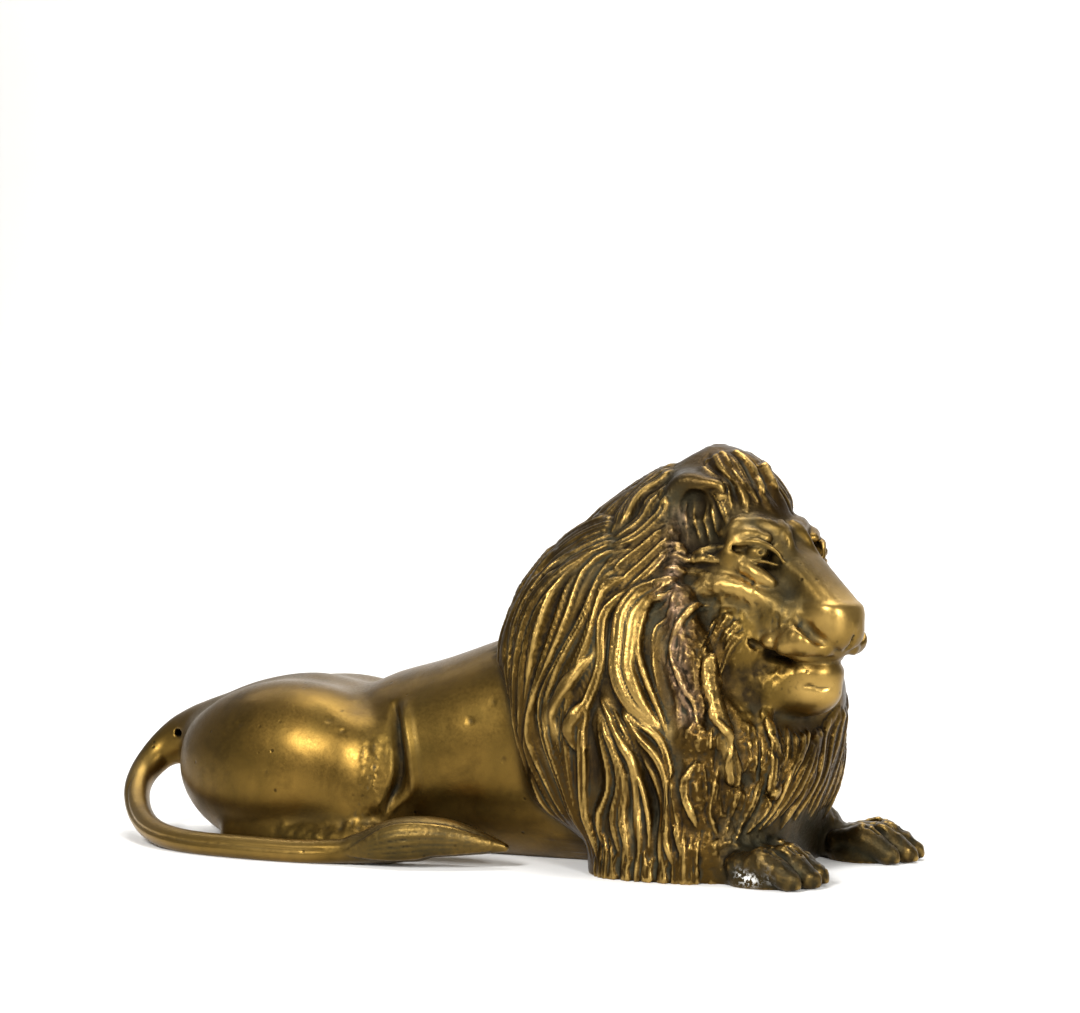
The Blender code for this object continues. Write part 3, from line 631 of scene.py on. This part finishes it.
brightLock = [(51, -47, 57), (58, -48, 47), (63, -49, 40), (63, -49, 31), (63, -50, 18)]
chestLocks = [
    [(105, -31, 56), (108, -34, 45), (108, -35, 32), (102, -40, 16)],
    [(111, -24, 54), (112, -31, 40), (108, -35, 30), (99, -42, 16)],
    [(117, -12, 53), (117, -20, 42), (113, -29, 29), (107, -33, 16)],
    [(122, 4, 58), (121, -3, 46), (118, -11, 30), (114, -16, 16)],
    [(118, 20, 62), (120, 17, 46), (116, 10, 30), (112, 4, 16)],
    [(104, 34, 66), (108, 34, 50), (106, 30, 30), (102, 26, 16)],
]
chestFill = [
    [(88, -46, 60), (87, -47, 45), (88, -47, 30), (90, -46, 16)],
    [(95, -44, 58), (95, -45, 45), (95, -45, 30), (94, -44, 16)],
    [(101, -40, 58), (102, -41, 45), (101, -42, 30), (97, -43, 16)],
    [(107, -34, 58), (109, -36, 45), (108, -38, 30), (102, -40, 16)],
]
crescentFill = [
    [(70, -40, 98), (66, -44, 90), (65, -46, 80), (67, -47, 68), (72, -48, 58)],
    [(74, -41, 94), (71, -44, 86), (71, -46, 76), (74, -47, 66), (78, -48, 56)],
    [(78, -41, 88), (76, -44, 80), (76, -46, 72), (79, -47, 63), (82, -48, 54)],
]
chestStrands = [
    [(85, -47, 42), (82, -48, 34), (84, -48, 24), (86, -47, 17)],
    [(92, -45, 40), (91, -46, 32), (90, -47, 24), (92, -46, 16)],
    [(99, -42, 56), (98, -42, 46), (99, -42, 36), (97, -43, 26), (94, -44, 17)],
    [(104, -37, 50), (105, -38, 40), (104, -39, 30), (100, -41, 20), (96, -42, 14)],
]
thinRidges = [
    [(84, -30, 94), (80, -33, 94), (78, -39, 91), (75, -41, 85), (74, -41, 78), (77, -43, 71), (80, -45, 65),
     (83, -46, 61), (86, -48, 53)],
    [(87, -41, 77), (87, -44, 71), (89, -44, 65), (92, -44, 56), (95, -44, 47), (95, -45, 37)],
]
cheekStrands = [
    [(89, -31, 92), (85, -33, 86), (84, -40, 80), (84, -44, 73), (87, -46, 66)],
    [(94, -32, 91), (90, -34, 85), (88, -35, 79), (89, -40, 73), (91, -42, 66)],
    [(97, -33, 85), (93, -34, 81), (90, -35, 75), (91, -39, 68), (94, -40, 61)],
]
haunchFold = [(-43, -33, 62), (-38, -37, 50), (-34, -39, 38), (-33, -41, 26), (-36, -43, 14)]
# on the head's grid
foreLocks = [
    [(0, -1, 37), (8, -1, 31), (15, -1, 22), (22, -1, 14)],
    [(-3, -6, 36), (3, -6, 32), (11, -6, 26), (17, -7, 19), (22, -8, 13)],
    [(-7, -9, 34), (-1, -11, 29), (8, -12, 22), (15, -13, 14)],
    [(-4, -14, 30), (3, -16, 24), (10, -17, 16), (14, -18, 9)],
]
templeLocks = [
    [(-4, -29, 3), (3, -26, 4), (10, -23, 3.5), (15, -20, 2)],
    [(-4, -30, -2), (4, -27, -1), (11, -24, -2), (16, -21, -3)],
    [(-2, -32, -7), (6, -28, -6), (13, -24, -7)],
]
earHairs = [[(-4, -21, 20), (-3, -22, 12), (0, -24, 3)], [(-1, -20, 20), (0, -21, 12), (4, -23, 3)],
            [(2, -19, 19), (4, -20, 11), (7, -22, 3)], [(5, -17, 17), (8, -19, 10), (11, -21, 4)]]


def chaseSide(skin, turn):
    # the locks as drawn above, for its right side, or turned over for its left
    wide, high, chase = lion["ribbonWidth"], lion["ribbonHeight"], lion["chaseDepth"]

    def over(courses):
        return [sided(course, turn) for course in courses]

    # large clumps first: soft ridges and the parting that the ribbons then follow
    for course, width, depth in ((sideLocks[2], 5, -1.2), (sideLocks[5], 4, -1.0), (fanLocks[1], 4, -1.2),
                                 (fanLocks[3], 4, -0.8), (sideLocks[1], 3.5, 0.8)):
        skin.groove(sided(course, turn), width, depth, 0.3)
    parting = sided([(47, -45, 70), (47, -47, 58), (47, -48, 44), (48, -49, 26)], turn)
    skin.groove(parting, 2.2, 1.4)
    comb(skin, over(napeLocks), wide, high * 0.8, wave=1.0)
    comb(skin, over(sideLocks), wide, high, wave=1.8)
    comb(skin, over(behindEar), wide * 0.8, high * 0.6, split=0.6)
    comb(skin, over(shoulderLocks), wide, high * 0.7, split=0.6)
    comb(skin, over(fanLocks), wide * 0.9, high, wave=1.2)
    for leaf in over(leafLocks):
        skin.ribbon(leaf, 2.9, high * 1.45, root=0.3, tip=0.35, flat=4)
    skin.ribbon(sided(brightLock, turn), 2.6, high * 1.5, [(-0.75, chase)], root=0.3, tip=0.5, flat=4)
    skin.ribbon(sided(crescentLock, turn), 5.4, high * 1.9, [(-0.55, chase), (0.05, 1.3 * chase)],
                root=0.2, tip=0.35, flat=5)
    skin.ribbon(sided(crescentRim, turn), 1.8, high * 1.5, root=0.2, tip=0.4)
    for x in np.arange(46, 87, 2.7):    # short strands along the foot
        sway, top = rng.uniform(-1.2, 1.2), rng.uniform(8, 21)
        strand = sided([(x - sway, -50, top), (x + sway, -50, 0.5 * top), (x + 0.6 * sway, -51, -1)], turn)
        width, height = rng.uniform(1.2, 1.9), high * rng.uniform(0.45, 1.0)
        skin.ribbon(strand, width, height, [(rng.uniform(-0.3, 0.3), chase)], root=0.8, tip=0.02)
    for ridge in over(thinRidges):
        skin.ribbon(ridge, 1.5, high * 0.95, root=0.2, tip=0.3)
    comb(skin, over(cheekStrands), 1.5, high * 0.5, split=0.6)
    comb(skin, over(chestFill), 1.3, high * 0.4, split=0.7)
    comb(skin, over(crescentFill), 1.2, high * 0.5, split=0.6)
    fore = [head.place(course) for course in over(foreLocks)]
    comb(skin, fore, 1.5, high * 0.7, ragged=0.35, split=0.6, wave=0.8)
    for course, width, share in zip(over(templeLocks), (2.4, 2.1, 1.7), (1, 0.8, 0.6)):
        skin.ribbon(head.place(course), width, high * share, [(0.2, 0.6 * chase)], root=0.3, tip=0.5)
    for hair in over(earHairs):
        skin.groove(head.place(hair), 0.7, -0.7)
    fold = np.array(sided(haunchFold, turn))
    skin.groove(fold, 1.8, 3.0)
    skin.groove(fold + (5, 0, 0), 2.2, -1.4)


def chaseTail(skin):
    for rise in np.arange(0.5, 15, 2.1):    # locks of the tuft
        strand = [(-42, -64, 4 + 0.1 * rise), (-25, -62, 2 + rise), (-8, -58, 4 + 0.9 * rise),
                  (9, -48, 7 + 0.2 * rise)]
        skin.ribbon(strand, 1.4, 1.3, root=0.4, tip=0.3)
    tailLine = [(-161, -19, 24), (-157, -29, 16), (-146, -42, 9), (-131, -54, 6), (-112, -62, 5),
                (-87, -66, 5), (-61, -66, 5), (-42, -64, 6)]
    skin.groove(tailLine, 0.7, 0.5, 0.1)


def chasePaws(skin):
    for side, reach, aside in paws:
        for splay in (-0.7, 0, 0.7):    # between the toes
            middle = side * aside + 10 * splay
            crease = [(98 + reach, middle, 14), (107 + reach, middle, 13), (115 + reach, middle, 9)]
            skin.groove(crease, 1.2, 1.5)
        for splay in toes:    # over each knuckle
            middle = side * aside + 10.5 * splay
            crease = [(107 + reach, middle - 3, 13), (108 + reach, middle, 14), (107 + reach, middle + 3, 13)]
            skin.groove(crease, 0.8, 0.6)


roughPlaces = [    # course, width, depth, grain
    ([(84, -33, 92), (84, -41, 80), (88, -45, 66), (92, -45, 50)], 9, 0.65, 2.4),
    ([(69, -23, 122), (71, -33, 104), (77, -41, 84), (81, -46, 62), (84, -47, 44), (84, -47, 26)],
     7, 0.7, 2.2),
    ([(100, -38, 62), (103, -39, 46), (100, -41, 30), (94, -44, 18)], 10, 0.65, 2.2),
    (head.place([(8, -24, -12), (18, -20, -20), (22, -19, -34), (16, -18, -46)]), 9, 0.5, 2.0),
    (head.place([(22, -18, -8), (30, -15, -20), (38, -15, -24), (44, -12, -26)]), 5, 0.5, 1.6),
    (head.place([(14, -14, 9), (22, -8, 11), (30, -4, 6)]), 7, 0.3, 2.2),
    (head.place([(0, -24, 14), (6, -25, 2)]), 6, 0.3, 2.0),
    ([(-43, -40, 42), (-43, -42, 30), (-44, -44, 18)], 6, 0.32, 1.5),
    ([(-80, -48, 9), (-64, -49, 10), (-46, -47, 12)], 4, 0.6, 2.8),
    ([(100, -40, 10), (112, -40, 14), (124, -38, 8)], 11, 0.45, 2.4),
    ([(118, 24, 10), (128, 30, 14), (140, 32, 8)], 11, 0.4, 2.4),
    ([(86, -48, 4), (90, -48, 14), (97, -47, 9)], 8, 0.55, 2.6),
    (head.place([(20, -18, -40), (30, -15, -42), (38, -11, -44)]), 5, 0.6, 1.5),
    ([(112, -50, 12), (96, -47, 17), (84, -47, 20)], 9, 0.35, 2.0),
]
dents = [    # place, radius, depth
    ((-62, -42, 53), 1.4, 0.45), ((-56, -43, 48), 1.0, 0.4), ((-6, -40, 52), 1.3, 0.5),
    ((-98, -38, 44), 1.2, 0.35), ((2, -39, 60), 1.6, 0.3), ((-84, -44, 30), 1.2, 0.3),
    ((8, -38, 38), 1.3, 0.35),
]


def wearCasting(skin):
    # rough, pitted places where the casting was left unfiled, and small dents
    for course, width, depth, grain in roughPlaces:
        for turn in (1, -1):
            skin.roughen(np.array(course) * (1, turn, 1), width, depth, grain)
    for (x, y, z), radius, depth in dents:
        for place in ((x, y, z), (-90 - x, -y, z)):    # on its left they come in the other order
            centre = np.array(skin.tree.find_nearest(place)[0])
            away = lengths(skin.points - centre)
            skin.relief -= depth * np.exp(-((away / radius) ** 2))


def chaseLion(skin):
    wide, high, chase = lion["ribbonWidth"], lion["ribbonHeight"], lion["chaseDepth"]
    # the back of the mane, over the spine
    comb(skin, [sideLocks[0], sided(sideLocks[0], -1)], wide * 1.2, high * 0.8)
    for turn in (1, -1):
        chaseSide(skin, turn)
    comb(skin, leftCrown, wide, high * 0.7, split=0.6)
    comb(skin, leftCheek, wide * 0.9, high * 0.6, split=0.6)
    comb(skin, chestLocks, 1.5, high * 0.8, wave=0.8)
    for turn in (1, -1):
        for strand in chestStrands:
            skin.ribbon(sided(strand, turn), 1.5, high * 0.7, [(0.2, 0.6 * chase)], root=0.3, tip=0.4)
    chaseTail(skin)
    chasePaws(skin)
    chin = head.place([(42, -10.5, -45.4), (45, -8.5, -45), (47.5, -6, -45.8), (49.5, -1, -45.2)])
    skin.groove(chin, 0.7, 0.55)
    wearCasting(skin)


def hollows(skin, points, rounds):
    # how far each point lies below (+) or above (-) the surface once it has been smoothed
    edges = np.concatenate([skin.quads[:, [k, (k + 1) % 4]] for k in range(4)])
    first, second = edges[:, 0], edges[:, 1]
    count = np.bincount(first, minlength=len(points)) + np.bincount(second, minlength=len(points))
    smooth = points.copy()
    for _ in range(rounds):
        nextOnes = np.empty_like(smooth)
        for axis in range(3):
            column = smooth[:, axis]
            sums = np.bincount(first, column[second], len(points))
            sums += np.bincount(second, column[first], len(points))
            nextOnes[:, axis] = sums / count
        smooth = nextOnes
    return ((smooth - points) * skin.facing(points)).sum(1)


# rubbed bright brass on the face, partly painted highlight where the light falls
rubbedAndLitSpots = [    # on the head's grid, with their width
    ([(43, -6, -46), (48, -1, -46)], 6),
    ([(53, -5, -20), (52, 4, -19)], 8),
    ([(46, -12, -30), (36, -16, -30)], 5),
    ([(23, -18, -5), (30, -15, -9)], 3.2),
    ([(19, -17, 6), (26, -12, 7)], 3),
    ([(16, -15, 10), (17, -14, 11)], 3),
    ([(10, -23, -12), (18, -21, -11.5), (27, -17, -14)], 5),
]


def wearAndLightMarks(skin, points):
    # what the finish reads at each point: hollows for dirt and painted shade, the mane, dirt, copper, rubbed
    # brass with painted highlights, paint
    x, z = points[:, 0], points[:, 2]
    scale = lion["fineStep"] / gridStep
    marks = {"fine": hollows(skin, points, max(int(4 * scale), 2)) / 0.42,
             "broad": hollows(skin, points, int(60 * scale**2)) / 1.6}
    # painted shade under the jaw, laid into the broad hollows that darken the colour
    throat = head.place([(18, -20, -40), (28, -16, -44), (22, -17, -54)])
    marks["broad"] += 0.8 * nearCourse(points, throat, 6)
    # the mane ends behind at this x for each height, and leaves the face free
    tall = [0, 6, 30, 50, 70, 82, 96, 110, 124]
    rear = [36, 33, 17, 12, 1, -3, 0, 11, 30]
    marks["mane"] = clipped((x - np.interp(z, tall, rear)) / 2)
    q = head.local(points)
    face = clipped((q[:, 0] - 12) / 6) * clipped((q[:, 2] + 62) / 6) * clipped((14 - q[:, 2]) / 5)
    marks["mane"] *= 1 - face * clipped((26 - np.abs(q[:, 1])) / 4)
    pawDirt = clipped((x - 90) / 8) * clipped((26 - z) / 6)
    tuft = nearCourse(points, [(-34, -60, 7), (-10, -55, 10), (12, -48, 9)], 10)
    ear = nearCourse(points, head.place([(-2, -24, 16), (2, -26, 4), (10, -24, -6)]), 12)
    roundEye = head.place([(8, -21, 10), (20, -16, 10), (28, -13, 4), (36, -10, -6), (38, -12, -15)])
    eye = nearCourse(points, roundEye, 10)
    nape = nearCourse(points, [(64, -14, 138), (50, -24, 126), (44, -34, 106), (28, -32, 104)], 13)
    marks["grime"] = clipped(0.9 * pawDirt + 0.9 * tuft + 0.5 * ear + 0.85 * eye + 0.6 * nape)
    seam = [(69, -21, 124), (70, -25, 115), (70, -33, 104), (74, -40, 90), (76, -43, 75), (81, -46, 58)]
    marks["copper"] = 0.8 * nearCourse(points, seam, 4.2)
    rubAndHighlight = clipped(sum(nearCourse(points, head.place(spot), size) for spot, size in rubbedAndLitSpots))
    # painted highlight along the top of the tail
    tailTop = [(-159, -19, 26), (-146, -41, 10), (-131, -53, 8), (-87, -64, 7), (-61, -64, 7)]
    rubAndHighlight = np.maximum(rubAndHighlight, 0.35 * nearCourse(points, tailTop, 6))
    # painted highlights on the brightest blades of the mane
    for blade, size in ((crescentLock[2:], 4.5), (brightLock, 2.5), (leafLocks[0], 2), (thinRidges[1], 2)):
        rubAndHighlight = np.maximum(rubAndHighlight, 0.8 * nearCourse(points, blade, size))
    marks["rubAndHighlight"] = rubAndHighlight
    marks["paint"] = clipped(nearCourse(points, [(102, -51, 4), (106, -52, 3)], 2.0)
                             + nearCourse(points, [(112, -51, 7), (113, -51, 4)], 1.4))
    return marks


def thinnedOut(points, quads, marks):
    # thin the mesh out, then bring each mark over from the nearest point
    dense = bpy.data.meshes.new("dense")
    dense.from_pydata(points.tolist(), [], quads.tolist())
    block = stood("block", dense)
    block.modifiers.new("Decimate", "DECIMATE").ratio = lion["triangles"] / (2 * len(quads))
    mesh = bpy.data.meshes.new_from_object(block.evaluated_get(bpy.context.evaluated_depsgraph_get()))
    bpy.data.objects.remove(block)
    bpy.data.meshes.remove(dense)
    mesh.name = "lionFine"
    places = np.empty(len(mesh.vertices) * 3)
    mesh.vertices.foreach_get("co", places)
    places = places.reshape(-1, 3)
    tree = KDTree(len(points))
    for number, point in enumerate(points.tolist()):
        tree.insert(point, number)
    tree.balance()
    nearest = [tree.find(place)[1] for place in places.tolist()]
    for name, values in marks.items():
        attribute = mesh.attributes.new(name, "FLOAT", "POINT")
        attribute.data.foreach_set("value", np.clip(values[nearest], -1, 1).astype(np.float32))
    return mesh, places


def makeLion():
    clay = Clay(lion["blockLow"], lion["blockHigh"], gridStep)
    shapeBody(clay)
    shapeMane(clay)
    shapeLegs(clay)
    shapeTail(clay)
    shapeHead(clay)
    clay.level(0)
    skin = Skin(*clay.surface())
    print("clay surface:", len(skin.quads), "quads")
    chaseLion(skin)
    points = skin.raised()
    print("chased:", len(points), "points")
    mesh, places = thinnedOut(points, skin.quads, wearAndLightMarks(skin, points))

    # stand it in the CAD solid's place
    low, high = places.min(0), places.max(0)
    shift = (np.array(cadLow) + np.array(cadHigh)) / 2 - (low + high) / 2 * millimetre
    shift[2] = cadLow[2] - low[2] * millimetre
    places = places * millimetre + shift
    mesh.vertices.foreach_set("co", places.ravel())
    mesh.shade_smooth()
    mesh.update()
    piece = stood("brassLion", mesh)
    print("lion:", len(mesh.polygons), "faces,", places.min(0).round(4), places.max(0).round(4))
    return piece, shift


finish = {
    "brass": (0.178, 0.103, 0.022),    # worn brass
    "pale": (0.50, 0.32, 0.092),    # rubbed bright brass and painted highlights
    "olive": (0.098, 0.060, 0.013),    # tarnish over the body
    "umber": (0.048, 0.026, 0.006),    # darker in the mane
    "brown": (0.012, 0.0075, 0.003),    # dirt and painted shade in the hollows, and the small pits
    "green": (0.034, 0.032, 0.019),    # grey-green patina
    "mauve": (0.20, 0.128, 0.082),    # coppery seam
    "stain": (0.040, 0.024, 0.006),    # brown blotches
    "paint": (0.75, 0.74, 0.70),
}


def brassFinish():
    material = bpy.data.materials.new("wornBrassAndPaintedLight")
    material.use_nodes = True
    tree = material.node_tree
    nodes, links = tree.nodes, tree.links
    shader = nodes["Principled BSDF"]
    coords = nodes.new("ShaderNodeTexCoord").outputs["Object"]

    def put(socket, value):
        if isinstance(value, bpy.types.NodeSocket):
            links.new(value, socket)
        elif isinstance(value, tuple):
            socket.default_value = (*value, 1.0)[:len(socket.default_value)]
        else:
            socket.default_value = value

    def made(kind, values):
        node = nodes.new("ShaderNode" + kind)
        for name, value in values.items():
            put(node.inputs[name], value)
        return node

    def mark(name):
        node = made("Attribute", {})
        node.attribute_name = name
        return node.outputs["Fac"]

    def noise(scale, detail=4.0, roughness=0.55, warp=0.0):
        return made("TexNoise", {"Vector": coords, "Scale": scale, "Detail": detail,
                                 "Roughness": roughness, "Distortion": warp}).outputs["Fac"]

    def spots(scale):
        return made("TexVoronoi", {"Vector": coords, "Scale": scale}).outputs["Distance"]

    def calc(kind, a, b):
        node = made("Math", {0: a, 1: b})
        node.operation = kind
        return node.outputs[0]

    def times(a, b):
        return calc("MULTIPLY", a, b)

    def plus(total, *others):
        for other in others:
            total = calc("ADD", total, other)
        return total

    def fade(value, low, high, first=0.0, last=1.0):
        return made("MapRange", {"Value": value, "From Min": low, "From Max": high,
                                 "To Min": first, "To Max": last}).outputs["Result"]

    def mix(share, a, b):
        node = nodes.new("ShaderNodeMix")
        node.data_type = "RGBA"
        for number, value in ((0, share), (6, a), (7, b)):
            put(node.inputs[number], value)
        return node.outputs[2]

    fine, broad, mane = mark("fine"), mark("broad"), mark("mane")
    cloud = noise(26, 5, 0.6, 0.4)
    grain = noise(240, 4, 0.6)
    speck = noise(900, 3, 0.7)
    # brass, tarnished in clouds, brighter where hands rub it and where highlights are painted
    colour = mix(fade(cloud, 0.36, 0.66), finish["olive"], finish["brass"])
    colour = mix(fade(noise(48, 6, 0.68, 0.3), 0.5, 0.72, 0.0, 0.6), colour, finish["stain"])
    maneCloud = fade(noise(18, 3, 0.5), 0.35, 0.6, 0.6, 1.0)
    colour = mix(times(mane, maneCloud), colour, finish["umber"])
    # painted highlight on raised ridges, stronger in the mane, over real rubbed wear
    ridge = times(fade(fine, -0.25, -1.0), fade(grain, 0.3, 0.62, 0.45, 1.0))
    ridge = times(ridge, fade(mane, 0, 1, 0.35, 0.85))
    rubbedAndLit = calc("MAXIMUM", ridge, times(mark("rubAndHighlight"), 0.75))
    colour = mix(rubbedAndLit, colour, finish["pale"])
    colour = mix(times(mark("copper"), fade(grain, 0.35, 0.6, 0.2, 0.9)), colour, finish["mauve"])
    grey = times(mark("grime"), fade(noise(70, 4, 0.6), 0.3, 0.65, 0.35, 1.0))
    grey = times(grey, fade(fine, -0.7, 0.1, 0.25, 1.0))
    colour = mix(grey, colour, finish["green"])
    # dirt and painted shade in the hollows
    deep = calc("MAXIMUM", fade(fine, 0.05, 0.75), fade(broad, 0.12, 0.8, 0.0, 0.9))
    dirtAndShade = times(deep, fade(grain, 0.25, 0.55, 0.7, 1.0))
    under = mix(fade(noise(40, 3, 0.5), 0.45, 0.62), finish["brown"], finish["green"])
    colour = mix(dirtAndShade, colour, under)
    # small dark pits on the smooth body
    pit = times(fade(spots(150), 0.13, 0.05), fade(noise(60, 2), 0.5, 0.62))
    colour = mix(times(pit, 0.7), colour, finish["brown"])
    flake = times(mark("paint"), fade(plus(noise(330, 3, 0.7), speck), 0.98, 1.06))
    colour = mix(flake, colour, finish["paint"])
    put(shader.inputs["Base Color"], colour)
    put(shader.inputs["Metallic"], times(fade(flake, 0, 1, 1, 0), fade(dirtAndShade, 0, 1, 1.0, 0.9)))
    rough = plus(fade(cloud, 0.3, 0.7, 0.44, 0.30), times(dirtAndShade, 0.3), times(grey, 0.15),
                 fade(speck, 0.3, 0.7, -0.05, 0.07), times(rubbedAndLit, -0.06))
    put(shader.inputs["Roughness"], calc("MAXIMUM", rough, times(flake, 0.7)))

    # cast and filed surface: soft waves, grain in the mane, pits
    height = plus(times(noise(55, 2, 0.5), 0.5), times(grain, fade(mane, 0, 1, 0.05, 0.32)),
                  times(grain, times(mark("grime"), 0.22)), times(speck, fade(mane, 0, 1, 0.015, 0.07)),
                  times(pit, -0.12), times(flake, 0.08))
    bump = made("Bump", {"Height": height, "Strength": 0.55, "Distance": 0.0018})
    put(shader.inputs["Normal"], bump.outputs["Normal"])
    return material


studio = {
    "floor": (0.78, 0.775, 0.76),
    "floorFront": -2.2,
    "bendStart": 0.9,    # where the floor turns up into the backdrop
    "bendRadius": 0.7,
    "backdropTop": 2.6,
    "halfWidth": 2.6,
    "sky": (1.0, 0.99, 0.97),
    "skyStrength": 0.40,
    "softboxes": {    # place, aim, width and height, watts
        "keyBox": ((-0.12, -1.0, 0.70), (-0.02, 0, 0.05), (0.24, 0.30), 14),
        "faceBox": ((0.80, -0.70, 0.40), (0.08, 0, 0.08), (0.18, 0.30), 8),
        "topBox": ((-0.05, 0.15, 1.2), (0, 0, 0), (0.7, 0.4), 10),
        "backBox": ((-0.3, 0.75, 1.5), (-0.5, 1.6, 0.6), (2.4, 0.3), 26),
    },
}


def makeStudio():
    bend, radius, half = studio["bendStart"], studio["bendRadius"], studio["halfWidth"]
    profile = [(studio["floorFront"], 0.0), (bend, 0.0)]
    profile += [(bend + radius * math.sin(a), radius - radius * math.cos(a))
                for a in np.linspace(0.1, math.pi / 2, 14)]
    profile += [(bend + radius, studio["backdropTop"])]
    points = [(x, y, z) for y, z in profile for x in (-half, half)]
    faces = [(2 * i, 2 * i + 1, 2 * i + 3, 2 * i + 2) for i in range(len(profile) - 1)]
    mesh = bpy.data.meshes.new("sweep")
    mesh.from_pydata(points, [], faces)
    mesh.shade_smooth()
    floor = stood("floor", mesh)
    paper = bpy.data.materials.new("palePaper")
    paper.use_nodes = True
    shader = paper.node_tree.nodes["Principled BSDF"]
    shader.inputs["Base Color"].default_value = (*studio["floor"], 1)
    shader.inputs["Roughness"].default_value = 0.85
    mesh.materials.append(paper)

    world = bpy.data.worlds.new("studio")
    bpy.context.scene.world = world
    world.use_nodes = True
    background = world.node_tree.nodes["Background"]
    background.inputs["Color"].default_value = (*studio["sky"], 1)
    background.inputs["Strength"].default_value = studio["skyStrength"]

    for name, (place, aim, size, power) in studio["softboxes"].items():
        light = bpy.data.lights.new(name, "AREA")
        light.shape = "RECTANGLE"
        light.size, light.size_y = size
        light.energy = power
        box = stood(name, light)
        box.location = place
        box.rotation_mode = "QUATERNION"
        box.rotation_quaternion = (Vector(aim) - Vector(place)).to_track_quat("-Z", "Y")


view = {
    "angle": 24,    # degrees in front of the lion's right side
    "aside": 5.1,    # the camera's place from there, mm
    "away": 850.3,
    "height": 127,
    "sensor": 36,
    "photoWidth": 1080,    # pixels
    "photoHeight": 1013,
    "focalLength": 2272,    # in the photograph's pixels
    "levelRow": 510,    # its row at the camera's height
}


def makeCamera(shift):
    # the photograph's place, looking level
    angle = math.radians(view["angle"])
    away = view["away"]
    place = (view["aside"] * math.cos(angle) + away * math.sin(angle),
             view["aside"] * math.sin(angle) - away * math.cos(angle), view["height"])
    camera = stood("camera", bpy.data.cameras.new("camera"))
    camera.location = Vector(place) * millimetre + Vector(shift)
    camera.rotation_mode = "QUATERNION"
    camera.rotation_quaternion = Vector((-math.sin(angle), math.cos(angle), 0)).to_track_quat("-Z", "Y")
    camera.data.sensor_width = view["sensor"]
    camera.data.lens = view["focalLength"] / view["photoWidth"] * view["sensor"]
    camera.data.shift_y = (view["levelRow"] - view["photoHeight"] / 2) / view["photoWidth"]
    camera.data.clip_start = 0.01
    bpy.context.scene.camera = camera


piece, shift = makeLion()
piece.data.materials.append(brassFinish())
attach(piece, "root")
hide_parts("lion")
print("finish on")
makeStudio()
makeCamera(shift)
bpy.context.scene.view_settings.view_transform = "Standard"
print("studio and camera set")
